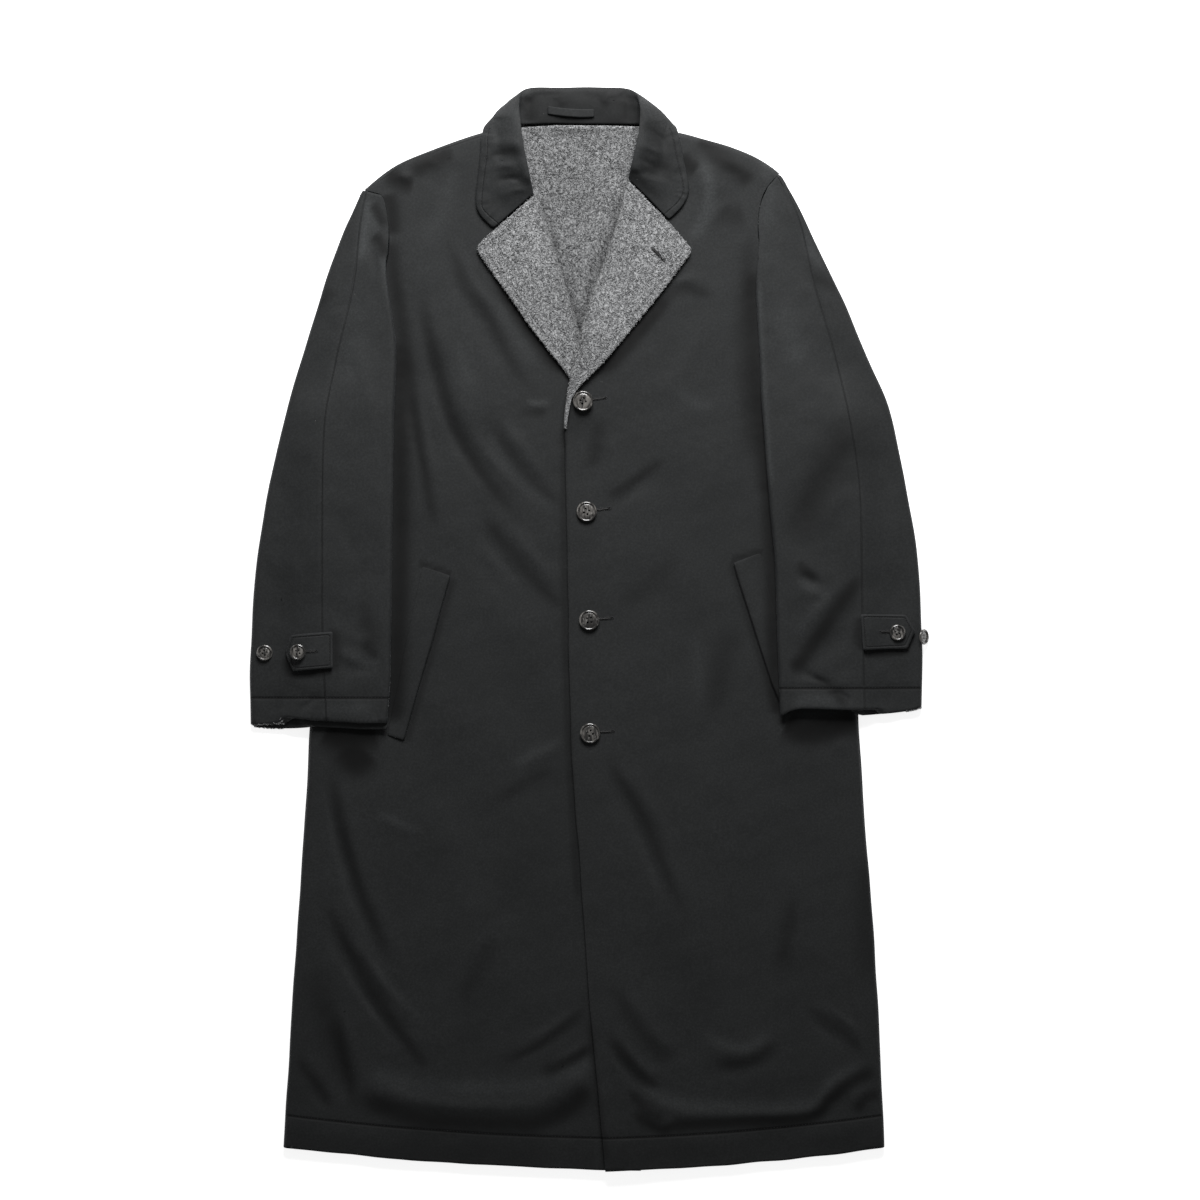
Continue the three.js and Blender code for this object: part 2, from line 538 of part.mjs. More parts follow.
// Distances of rows and columns from the edges of the body: close together where the cloth turns
const NEAR_HEM = [0, HEM_BAND - BAND_GROOVE.width, HEM_BAND, HEM_BAND + BAND_GROOVE.width];
const NEAR_SHOULDER = [32, 18, 10, 6, 3.5, 1.5, 0];
const NEAR_SIDE = [0, 1, 3, 6];
const NEAR_ROLL = [7, 3.5, 1.2, 0];
const BACK_LEVELS = [0, 160, 320, 480, 640, 760];
const BACK_PIT_LEVELS = [0, 10, 20, 32, 48];
const BACK_NEAR_SHOULDER = [150, 120, 90, 70, 50, 32, 18, 8, 3, 1, 0];

function buildFront(side) {
  const [foot, tip, neck] = [HEM[side], SHOULDER_TIP[side], NECK_POINT[side]];
  const lowest = HEM.middle[1];
  const low = stations(CHEST - lowest, NEAR_HEM, 10, [0]);
  const high = stations(neck.y - CHEST, [20], 14, NEAR_SHOULDER);
  const inner = [...low.map((d) => lowest + d), ...high.map((d) => CHEST + d)];
  const flank = inner.map((y) =>
    y < CHEST
      ? mix(foot[1], CHEST, (y - lowest) / (CHEST - lowest))
      : mix(CHEST, tip.y, (y - CHEST) / (neck.y - CHEST)),
  );
  const starts = flank.map((y) => [frontSide[side](y), y]);
  const ends = inner.map((y) => [innerEdge[side](y), y]);
  const columns = (width) => stations(width, NEAR_SIDE, 6, NEAR_ROLL);
  const grid = ruled(starts, ends, columns, () => 0);
  fitBody(grid, HEM.sag, (x, y) => frontHeight(side, x, y));
  addPiece(`front_${side}`, wall(grid, CLOTH, ["start", "end", "top"]), GABARDINE);
}

function buildBack() {
  const flank = (side) => {
    const lowest = HEM[side][1];
    const near = [...BACK_LEVELS, ...BACK_PIT_LEVELS.map((d) => PIT - lowest + d)];
    const levels = stations(SHOULDER_TIP[side].y - lowest, near, 3, BACK_NEAR_SHOULDER);
    return levels.map((d) => [backSide[side](lowest + d), lowest + d]);
  };
  const columns = (width) => stations(width, NEAR_SIDE, 12, NEAR_SIDE.toReversed());
  const grid = ruled(flank("right"), flank("left"), columns, () => 0);
  fitBody(grid, HEM.backSag, backHeight);
  addPiece("back", wall(grid, CLOTH, ["start", "end", "top"]), GABARDINE);
}

function buildBackWool() {
  const { low, high, right, left, narrow, from, to, gap } = NECK_WOOL;
  const levels = stations(high - low, [0], 7, [70, 50, 30, 12, 0]).map((d) => low + d);
  const drawnIn = (y) => narrow * ramp(from, to, y);
  const starts = levels.map((y) => [right + drawnIn(y), y]);
  const ends = levels.map((y) => [left - drawnIn(y), y]);
  const middle = (x, y) => CLOTH + neckLift(x, y) + gap + WOOL / 2;
  addPiece("back_wool", wall(ruled(starts, ends, (w) => stations(w, [0], 8, [0]), middle), WOOL), WOOL_GREY);
}

function buildLapel(side) {
  const rows = LAPELS[side];
  const columns = (width) => {
    const roll = Math.min(1.5 * ROLL, width / 2);
    return [0, 0.15, 0.45, 1].map((f) => f * roll).concat([1, 2, 3, 4].map((k) => mix(roll, width, k / 4)));
  };
  const halfway = (key) =>
    rows.flatMap((r, i) => (i ? [between(rows[i - 1][key], r[key], 0.5), r[key]] : [r[key]]));
  const starts = halfway("roll").map(([, y], i) => (i ? [innerEdge[side](y), y] : rows[0].roll));
  const grid = ruled(starts, halfway("edge"), columns, (x, y) => lapelHeight(side, x, y));
  addPiece(`lapel_${side}`, wall(grid, CLOTH, ["start"]), WOOL_GREY);
}

const collarLine = (key) =>
  new THREE.CatmullRomCurve3(COLLAR.map((row) => new THREE.Vector3(...row[key])), false, "centripetal");
const collarLines = ["neck", "stand", "roll", "fall", "edge"].map(collarLine);

// A section of the collar at a share of the way round the neck.
function collarSection(share) {
  const stops = collarLines.map((line) => line.getPoint(share));
  return new THREE.CatmullRomCurve3(stops, false, "centripetal");
}

function buildCollar() {
  const grid = Array.from({ length: 29 }, (_, i) =>
    collarSection(i / 28).getPoints(10).map((p) => p.setZ(Math.max(p.z, HALF))),
  );
  addPiece("collar", wall(grid, CLOTH), GABARDINE);
}

// The value between two others at which a rising function passes zero.
function solve(low, high, rising) {
  let [a, b] = [low, high];
  for (let k = 0; k < 24; k++) {
    const half = (a + b) / 2;
    if (rising(half) < 0) a = half;
    else b = half;
  }
  return (a + b) / 2;
}

// Height of the middle of the collar's stand behind the neck.
function standHeight(x, y) {
  const share = solve(...LOOP.stand, (s) => collarLines[1].getPoint(s).x - x);
  const section = collarSection(share);
  return section.getPoint(solve(0, 0.25, (t) => section.getPoint(t).y - y)).z;
}

// A line beside the armhole edge of a front or of the back, from the shoulder down.
function armhole(side, edge, low, gap) {
  const tip = SHOULDER_TIP[side];
  const steps = 39;
  const near = 0.2;
  const line = Array.from({ length: steps + 1 }, (_, k) => {
    const y = mix(tip.y - 2 * near, low, k / steps);
    const slope = (edge(y + near) - edge(y - near)) / (2 * near);
    const reach = (gap * outward[side]) / Math.hypot(1, slope);
    return new THREE.Vector3(edge(y) + reach, y - reach * slope, 0);
  });
  line[0].set(...SLEEVES[side][0].outer, 0);
  return new THREE.CatmullRomCurve3(line, false, "centripetal");
}

// Where the under layer of a sleeve ends: at the armhole of the back, then under the upper layer.
function underEnd(side, row) {
  if (row.under < PIT) return row.inner;
  return [backSide[side](row.under) + LAP * outward[side], row.under];
}

// A row of the sleeve table at a fraction between two of its rows.
function sleeveRow(side, at) {
  const table = SLEEVES[side];
  const i = Math.min(table.length - 2, Math.floor(at));
  const [a, b, t] = [table[i], table[i + 1], at - i];
  const under = mix(a.under, b.under, t);
  return {
    outer: between(a.outer, b.outer, t),
    inner: between(a.inner, b.inner, t),
    end: b.under < PIT ? between(underEnd(side, a), underEnd(side, b), t) : underEnd(side, { under }),
    over: mix(a.over, b.over, t),
    edge: mix(a.edge, b.edge, t),
    turn: 1 - ramp(a.under < PIT ? a.under : PIT - SLEEVE_TURN, PIT, under),
    crown: 1 - ramp(0, 2, at),
    cuff: table.length - 1 - at,
  };
}

const cuffLine = (side) => (SLEEVES[side].at(-1).outer[1] + SLEEVES[side].at(-1).inner[1]) / 2;
const besideBody = (side, x, y) => (x - frontSide[side](y)) * outward[side];

function sleeveUpper(side, row, x, y) {
  const rest = 1 - ramp(0, SLEEVE_DRAPE, besideBody(side, x, y));
  const fold = foldHeight(SLEEVE_FOLDS[side], x, y);
  return mix(FRONT_MID, row.over, rest) + fold - groove(y - cuffLine(side), CUFF_BAND);
}

function sleeveUnder(side, row, x, y) {
  const rest = 1 - ramp(0, SLEEVE_DRAPE, besideBody(side, x, Math.min(y, PIT)));
  const lifted = (1 - ramp(PIT, PIT + SLEEVE_LIFT, y)) * rest;
  return mix(HALF, row.over - SLEEVE_PAIR, lifted);
}

// A section of the upper layer: a point at a distance from the outer edge.
function upperPoint(side, row, crown, distance) {
  const width = Math.hypot(row.inner[0] - row.outer[0], row.inner[1] - row.outer[1]);
  const [x0, y0] = between(row.outer, row.inner, distance / width);
  const [first, last] = [SLEEVES[side][0].outer, SLEEVES[side][0].inner];
  const straight = between(first, last, distance / width);
  const bent = crown.getPointAt(clamp01(distance / width));
  const [x, y] = [x0 + row.crown * (bent.x - straight[0]), y0 + row.crown * (bent.y - straight[1])];
  const flat = sleeveUpper(side, row, x, y);
  const fold = (flat + sleeveUnder(side, row, x, y)) / 2;
  const turnedIn = mix(row.edge, flat, turned(width - distance, ROLL));
  return new THREE.Vector3(x, y, mix(fold, turnedIn, turned(distance, SIDE_FOLD)));
}

function underPoint(side, row, crown, distance) {
  const width = Math.hypot(row.end[0] - row.outer[0], row.end[1] - row.outer[1]);
  const [x0, y0] = between(row.outer, row.end, distance / width);
  const straight = between(SLEEVES[side][0].outer, underEnd(side, SLEEVES[side][0]), distance / width);
  const bent = crown.getPointAt(clamp01(distance / width));
  const x = x0 + row.crown * (bent.x - straight[0]);
  const shown = side === "right" ? (1 - ramp(0, 1, row.cuff)) * turned(distance, CUFF_SHOW.width) : 0;
  const y = y0 + row.crown * (bent.y - straight[1]) - CUFF_SHOW.depth * shown;
  const flat = sleeveUnder(side, row, x, y);
  const fold = (flat + sleeveUpper(side, row, x, y)) / 2;
  const seam = mix(flat, row.edge - 2 * SEAM, row.turn);
  const turnedIn = mix(seam, flat, turned(width - distance, ROLL));
  return new THREE.Vector3(x, y, mix(fold, turnedIn, turned(distance, SIDE_FOLD)));
}

// Distance of the seam from the outer edge of the upper layer
function seamDistance(side, row) {
  const width = Math.hypot(row.inner[0] - row.outer[0], row.inner[1] - row.outer[1]);
  let share = 0.5;
  for (let round = 0; round < 6; round++) {
    const y = mix(row.outer[1], row.inner[1], share);
    share = (sleeveSeam[side](y) - row.outer[0]) / (row.inner[0] - row.outer[0]);
  }
  return { width, seam: Math.max(SEAM_INSET, clamp01(share) * width) };
}

// A sleeve has two panels: one from the seam to the inner edge, and one from the seam round the
// outer edge and back beneath.
const SLEEVE_STOPS = [
  0, 1, 2, 3, 4, 5, 6, 6.5, 7, 7.5, 8, 8.5, 9, 9.5, 10, 11, 11.7, 12.2, 12.6, 13,
  13.35, 13.51, 13.56, 13.61, 14,
];

function buildSleeve(side) {
  const frontCrown = armhole(side, frontSide[side], SLEEVES[side][0].inner[1], 3 * SEAM);
  const backCrown = armhole(side, backSide[side], SLEEVES[side][0].under, LAP);
  const front = [];
  const back = [];
  for (const stop of SLEEVE_STOPS) {
    const row = sleeveRow(side, stop);
    const { width, seam } = seamDistance(side, row);
    const under = Math.hypot(row.end[0] - row.outer[0], row.end[1] - row.outer[1]);
    const upperAt = (d) => upperPoint(side, row, frontCrown, d);
    const underAt = (d) => underPoint(side, row, backCrown, d);
    front.push(stations(width - seam, [SEAM * 0.7, 3], 3, [6, 2.5, 0.8, 0]).map((d) => upperAt(seam + d)));
    const roll = Math.min(1.4 * SIDE_FOLD, seam / 2);
    const near = Math.min(3, (seam - roll) / 5);
    const outside = stations(seam, [0, roll / 6, roll / 2, roll], 3, [near, SEAM * 0.7]).toReversed();
    const beneath = stations(under, [roll / 6, roll / 2, roll], 5, [5, 1.6, 0]);
    back.push([...outside.map(upperAt), ...beneath.map(underAt)]);
  }
  addPiece(`sleeve_${side}_front`, wall(front, CLOTH, ["end"]), GABARDINE);
  addPiece(`sleeve_${side}_back`, wall(back, CLOTH, ["end"]), GABARDINE);
}

// Height of the cloth of a sleeve near its cuff
function cuffHeight(side, x, y) {
  const row = sleeveRow(side, SLEEVES[side].length - 1);
  const flat = sleeveUpper(side, row, x, y);
  const outer = edgeOf(SLEEVES[side].toReversed().map((r) => ({ y: r.outer[1], x: r.outer[0] })), "x");
  const fold = (flat + sleeveUnder(side, row, x, y)) / 2;
  return mix(fold, flat, turned(Math.abs(x - outer(y)), SIDE_FOLD));
}

function buildWelt(side) {
  const { top, foot } = WELTS[side];
  const rows = 9;
  const along = (k) => Array.from({ length: rows }, (_, i) => between(top[k], foot[k], i / (rows - 1)));
  const height = (x, y) => lay[side](x, y) + HALF + SEAM + WELT / 2;
  const grid = ruled(along(0), along(1), (width) => stations(width, [0], 3, [0]), height);
  addPiece(`pocket_welt_${side}`, wall(grid, WELT), GABARDINE);
}

function buildStrap(side) {
  const { upper, lower, point } = STRAPS[side];
  const along = (edge) => Array.from({ length: 7 }, (_, i) => between(edge[0], edge[1], i / 6));
  const height = (x, y) => cuffHeight(side, x, y) + HALF + LAP + STRAP / 2;
  const grid = ruled(along(upper), along(lower), (width) => stations(width, [0], 4, [0]), height);
  const middle = between(upper[1], lower[1], 0.5);
  grid.forEach((row, i) => {
    row.forEach((p, j) => {
      const reach = ramp(0.5, 1, i / 6) * (1 - Math.abs(j / 2 - 1));
      p.x += reach * (point[0] - middle[0]);
      p.y += reach * (point[1] - middle[1]);
      p.z = height(p.x, p.y);
    });
  });
  addPiece(`cuff_strap_${side}`, wall(grid, STRAP), GABARDINE);
}

function buildLoop() {
  const { from, to, width, bow, rise } = LOOP;
  const grid = Array.from({ length: 9 }, (_, i) => {
    const t = i / 8;
    const [x, middle] = between(from, to, t);
    return [-width / 2, 0, width / 2].map((across) => {
      const y = middle + rise * (2 * t - 1) ** 2 + across;
      const off = HALF + SEAM + WELT / 2 + bow * Math.sin(Math.PI * t);
      return new THREE.Vector3(x, y, standHeight(x, y) + off);
    });
  });
  addPiece("hanger_loop", wall(grid, WELT), GABARDINE);
}

// A closed geometry as a solid that can be cut
function solidOf(geometry) {
  geometry.deleteAttribute("normal");
  geometry.deleteAttribute("uv");
  const merged = mergeVertices(geometry);
  const corners = Array.from({ length: merged.index.count / 3 }, (_, k) =>
    [0, 1, 2].map((c) => merged.index.getX(3 * k + c)),
  );
  const face = corners.filter(([a, b, c]) => a !== b && b !== c && c !== a).flat();
  const closed = facingOut([...merged.attributes.position.array], face);
  const vertProperties = new Float32Array(closed.attributes.position.array);
  return new wasm.Manifold(
    new wasm.Mesh({ numProp: 3, vertProperties, triVerts: new Uint32Array(closed.index.array) }),
  );
}

// A button with four sunk holes and a raised rim, its back at the origin and a shank below it
function button({ radius, height, rim, hole, spread, sides }, shank) {
  const turn = BUTTON_TURN;
  const dish = height - turn.dish;
  const profile = [
    [0, -shank],
    [SHANK_RADIUS, -shank],
    [SHANK_RADIUS, 0],
    [radius - turn.foot, 0],
    [radius, turn.belly],
    [radius - turn.lip, height],
    [radius - rim, height],
    [radius - rim - turn.slope, dish],
    [0, dish - turn.middle],
  ].map(([r, z]) => new THREE.Vector2(r, z));
  let solid = solidOf(new THREE.LatheGeometry(profile, sides).rotateX(Math.PI / 2));
  const depth = height;
  for (const x of [-spread, spread]) {
    for (const y of [-spread, spread]) {
      const drill = new THREE.CylinderGeometry(hole, hole, depth, 6).rotateX(Math.PI / 2);
      solid = solid.subtract(solidOf(drill.translate(x, y, dish / 3 + depth / 2)));
    }
  }
  const mesh = solid.getMesh();
  const geometry = new THREE.BufferGeometry();
  geometry.setAttribute("position", new THREE.BufferAttribute(new Float32Array(mesh.vertProperties), 3));
  geometry.setIndex([...mesh.triVerts]);
  geometry.computeVertexNormals();
  return geometry;
}

// A button over a cloth whose middle is at heightAt: it clears the cloth all round beneath it, and
// its shank reaches down to the cloth.
function seatedButton(shape, x, y, heightAt, sunk = 0) {
  const highest = (radius) => {
    const angles = Array.from({ length: 12 }, (_, k) => (k * Math.PI) / 6);
    return Math.max(...angles.map((a) => heightAt(x + radius * Math.cos(a), y + radius * Math.sin(a))));
  };
  const foot = highest(SHANK_RADIUS) + HALF + SEAM - sunk;
  const base = Math.max(foot + sunk, highest(shape.radius) + HALF) + LAY;
  return button(shape, base - foot).translate(x, y, base);
}

function buildButtons() {
  FRONT_BUTTONS.forEach(([x, y], k) => {
    const sunk = k === 0 ? TOP_BUTTON_SUNK : 0;
    addPiece(`front_button_${k + 1}`, seatedButton(FRONT_BUTTON, x, y, leftLay, sunk), HORN);
  });
  for (const [side, places] of Object.entries(CUFF_BUTTONS)) {
    places.forEach(([x, y], k) => {
      const strap = k === 0 ? STRAP + LAP : 0;
      const cloth = (u, v) => cuffHeight(side, u, v) + strap;
      addPiece(`cuff_button_${side}_${k + 1}`, seatedButton(CUFF_BUTTON, x, y, cloth), HORN);
    });
  }
  const { x, y, z, tilt, shank } = EDGE_BUTTON;
  const tilted = button(CUFF_BUTTON, shank).rotateY(THREE.MathUtils.degToRad(tilt)).translate(x, y, z);
  addPiece("cuff_button_left_2", tilted, HORN);
}

buildBack();
buildBackWool();
buildFront("right");
buildFront("left");
for (const side of ["right", "left"]) {
  buildLapel(side);
  buildSleeve(side);
  buildWelt(side);
  buildStrap(side);
}
buildCollar();
buildLoop();
buildButtons();

// The origin is under the middle of the coat, on the surface that it lies on.
const bounds = new THREE.Box3().setFromObject(coat);
const middle = bounds.getCenter(new THREE.Vector3());
coat.position.set(-middle.x, -middle.y, -bounds.min.z);

export default coat;
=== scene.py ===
import math

import bmesh
import bpy
import numpy as np
from mathutils import Matrix, Vector
from mathutils.bvhtree import BVHTree


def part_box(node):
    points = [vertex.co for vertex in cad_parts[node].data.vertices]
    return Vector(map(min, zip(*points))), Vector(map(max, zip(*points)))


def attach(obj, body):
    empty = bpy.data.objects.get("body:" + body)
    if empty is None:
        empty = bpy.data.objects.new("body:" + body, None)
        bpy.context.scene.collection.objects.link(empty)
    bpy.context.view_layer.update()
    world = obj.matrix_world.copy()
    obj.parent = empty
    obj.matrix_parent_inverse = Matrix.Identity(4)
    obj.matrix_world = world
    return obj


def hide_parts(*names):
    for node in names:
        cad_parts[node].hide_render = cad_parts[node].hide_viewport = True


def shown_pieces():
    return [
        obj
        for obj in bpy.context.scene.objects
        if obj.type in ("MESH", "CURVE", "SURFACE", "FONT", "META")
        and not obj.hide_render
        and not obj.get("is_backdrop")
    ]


# Long reversible coat laid flat: black gabardine outside, brushed grey wool inside.
# "right" and "left" are the wearer's, so the right front is at -X, and the left one laps over it.
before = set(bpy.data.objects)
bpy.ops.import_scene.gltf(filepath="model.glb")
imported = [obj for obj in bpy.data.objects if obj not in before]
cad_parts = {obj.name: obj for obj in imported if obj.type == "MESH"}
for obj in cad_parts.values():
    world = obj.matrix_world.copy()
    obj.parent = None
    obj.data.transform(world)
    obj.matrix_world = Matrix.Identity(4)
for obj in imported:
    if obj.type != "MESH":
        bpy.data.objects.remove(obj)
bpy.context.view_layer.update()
print("frame loaded:", len(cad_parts), "pieces in the solid coat")

mm = 0.001
patternShift = (-2.2468, 0.5274)  # from the pattern's own origin to the frame, in mm
scene = bpy.context.scene


# Curves and paths in pattern millimetres

def smoothStep(low, high, x):
    t = np.clip((x - low) / (high - low), 0, 1)
    return t * t * (3 - 2 * t)


def curveThrough(points):
    # smooth y(x) with no overshoot, level past both ends
    u, v = np.array(sorted(points), float).T
    step = np.diff(v) / np.diff(u)
    before, after = step[:-1], step[1:]
    same = before * after > 0
    middle = np.where(same, 2 * before * after / np.where(same, before + after, 1), 0)
    slope = np.concatenate([step[:1], middle, step[-1:]])

    def at(x):
        x = np.clip(np.asarray(x, float), u[0], u[-1])
        i = np.clip(np.searchsorted(u, x, side="right") - 1, 0, len(u) - 2)
        h = u[i + 1] - u[i]
        t = (x - u[i]) / h
        s = 1 - t
        ends = v[i] * (1 + 2 * t) * s * s + v[i + 1] * t * t * (3 - 2 * t)
        return ends + h * t * s * (slope[i] * s - slope[i + 1] * t)

    return at


def smoothPath(points, steps=6):
    # Catmull-Rom line through the points
    p = np.array(points, float)
    if len(p) < 3:
        t = np.linspace(0, 1, 2 * steps)[:, None]
        return p[0] + (p[-1] - p[0]) * t
    padded = np.vstack([2 * p[0] - p[1], p, 2 * p[-1] - p[-2]])
    out = []
    for i in range(1, len(padded) - 2):
        a, b, c, d = padded[i - 1:i + 3]
        for t in np.arange(steps) / steps:
            bend = (2 * a - 5 * b + 4 * c - d) * t ** 2 + (3 * b - a - 3 * c + d) * t ** 3
            out.append(0.5 * (2 * b + (c - a) * t + bend))
    out.append(p[-1])
    return np.array(out)


def fromPath(x, y, path):
    # distance, side and share along the path, for many points at once
    best = np.full(len(x), 1e9)
    side = np.ones(len(x))
    along = np.zeros(len(x))
    for i in range(len(path) - 1):
        (ax, ay), (bx, by) = path[i], path[i + 1]
        dx, dy = bx - ax, by - ay
        length = max(dx * dx + dy * dy, 1e-9)
        t = np.clip(((x - ax) * dx + (y - ay) * dy) / length, 0, 1)
        gapX, gapY = x - ax - t * dx, y - ay - t * dy
        d = np.hypot(gapX, gapY)
        closer = d < best
        best = np.where(closer, d, best)
        side = np.where(closer, np.sign(dx * gapY - dy * gapX), side)
        along = np.where(closer, (i + t) / (len(path) - 1), along)
    return best, side, along


def foldRelief(x, y, folds):
    # height in mm that a list of folds adds; a fold leans to one side and dies away at its ends
    total = np.zeros(len(x))
    for n, row in enumerate(folds):
        path = smoothPath(row["path"])
        reach = 3 * row["width"]
        low, high = path.min(0) - reach, path.max(0) + reach
        near = (x > low[0]) & (x < high[0]) & (y > low[1]) & (y < high[1])
        if not near.any():
            continue
        d, side, along = fromPath(x[near], y[near], path)
        signed = d * side
        narrow = 1 - 0.35 * np.cos(7 * along + n)
        width = row["width"] * narrow * (1 + row["lean"] * np.tanh(signed / (0.4 * row["width"])))
        fade = smoothStep(0, row["fade"], np.minimum(along, 1 - along))
        uneven = 1 + 0.3 * np.sin(5 * along + 2.1 * n)
        total[near] += row["rise"] * fade * uneven * np.exp(-(d / width) ** 2)
    return total


def softNoise(x, y, size, seed):
    # slow uneven waves of about the given size in mm, from -1 to 1
    chance = np.random.default_rng(seed)
    total = np.zeros(len(x))
    for _ in range(9):
        angle = chance.uniform(0, 2 * math.pi)
        wave = 2 * math.pi / (size * chance.uniform(0.7, 1.8))
        phase = chance.uniform(0, 2 * math.pi)
        total += np.sin(wave * (x * math.cos(angle) + y * math.sin(angle)) + phase)
    return total / 4.5


# The pattern: edges of the pieces in mm, as (height up the coat, distance across it)
bodyPattern = {
    "frontEdge": {
        "right": [(-616, 61), (-504, 56), (-387, 46), (-293, 40), (-124, 27), (59, 22), (230, 15), (283, 4),
                  (337, -11), (395, -29), (447, -44), (491, -60), (507, -70), (530, -82), (562, -90)],
        "left": [(-616, 20), (-504, 10), (-387, -1), (-293, -6), (-124, -19), (59, -22), (230, -25),
                 (283, -18),
                 (337, -7), (395, 13), (447, 31), (491, 43), (507, 47), (530, 63), (562, 76)],
    },
    "side": {
        "right": [(-590, -344), (-396, -332), (-114, -313), (248, -300), (265, -282), (300, -256),
                  (350, -238), (400, -232), (425, -224), (478, -229), (491, -233), (497, -252), (515, -253)],
        "left": [(-590, 336), (-396, 327), (-114, 306), (248, 292), (265, 273), (300, 246),
                 (350, 222), (400, 206), (425, 196), (478, 194), (491, 198), (497, 201), (515, 217)],
    },
    "sleeveInner": {
        "right": [(-106, -228), (-43, -224), (58, -223), (212, -221), (280, -219), (320, -218),
                  (367, -225), (402, -230), (447, -226), (491, -236)],
        "left": [(-99, 220), (-24, 217), (78, 214), (140, 208), (208, 202), (250, 199), (300, 197),
                 (345, 194), (410, 192), (452, 195), (501, 205)],
    },
    "sleeveOuter": {
        "right": [(-109, -381), (-43, -382), (60, -377), (146, -364), (216, -348), (290, -328),
                  (345, -311), (396, -296), (449, -276), (478, -263), (496, -255)],
        "left": [(-94, 378), (-20, 379), (80, 375), (146, 363), (216, 350), (262, 337), (318, 311),
                 (367, 292), (410, 271), (464, 246), (498, 228), (512, 219)],
    },
    "shoulder": [(-252, 497), (-219, 524), (-161, 547), (-116, 562), (-90, 567), (-74, 570.5),
                 (58, 570.5), (76, 566), (98, 562), (159, 546), (199, 530), (217, 515)],
    "hem": {"right": (-344, -590), "middle": (16, -616), "left": (336, -590), "sag": 5, "band": 38},
    "cuff": {"right": -107.5, "left": -96.5, "band": 29},
    "sleeveSeam": {
        "right": [(-110, -295), (20, -300), (145, -300), (224, -298), (300, -286), (398, -264),
                  (457, -258), (500, -250)],
        "left": [(-110, 314), (20, 311), (145, 309), (224, 299), (300, 283), (398, 255), (457, 242),
                 (500, 226)],
    },
    "shoulderSeam": [(-104, 561), (-128, 555), (-161, 544), (-198, 532), (-212, 524), (-236, 506)],
}
frontEdge = {side: curveThrough(rows) for side, rows in bodyPattern["frontEdge"].items()}
sideEdge = {side: curveThrough(rows) for side, rows in bodyPattern["side"].items()}
sleeveSeam = {side: curveThrough(rows) for side, rows in bodyPattern["sleeveSeam"].items()}
sleeveInner = {side: curveThrough(rows) for side, rows in bodyPattern["sleeveInner"].items()}
sleeveOuter = {side: curveThrough(rows) for side, rows in bodyPattern["sleeveOuter"].items()}
shoulderLine = curveThrough(bodyPattern["shoulder"])
outward = {"right": -1, "left": 1}


def hemLine(x):
    hem = bodyPattern["hem"]
    middle = hem["middle"]
    endX = np.where(x < middle[0], hem["right"][0], hem["left"][0])
    endY = np.where(x < middle[0], hem["right"][1], hem["left"][1])
    t = np.clip((x - middle[0]) / (endX - middle[0]), 0, 1)
    return middle[1] + (endY - middle[1]) * t - hem["sag"] * 4 * t * (1 - t)


def fold(width, rise, *path, lean=0, fade=0.42):
    # a ridge along a path, all in mm; a negative rise is a hollow
    return {"width": width, "rise": rise, "lean": lean, "fade": fade, "path": path}


def paintedLightStroke(width, tone, *path, fade=0.25):
    # painted shade along a path where the tone is negative, painted highlight where it is positive, in stops
    # of brightness
    return {"width": width, "tone": tone, "fade": fade, "path": path}


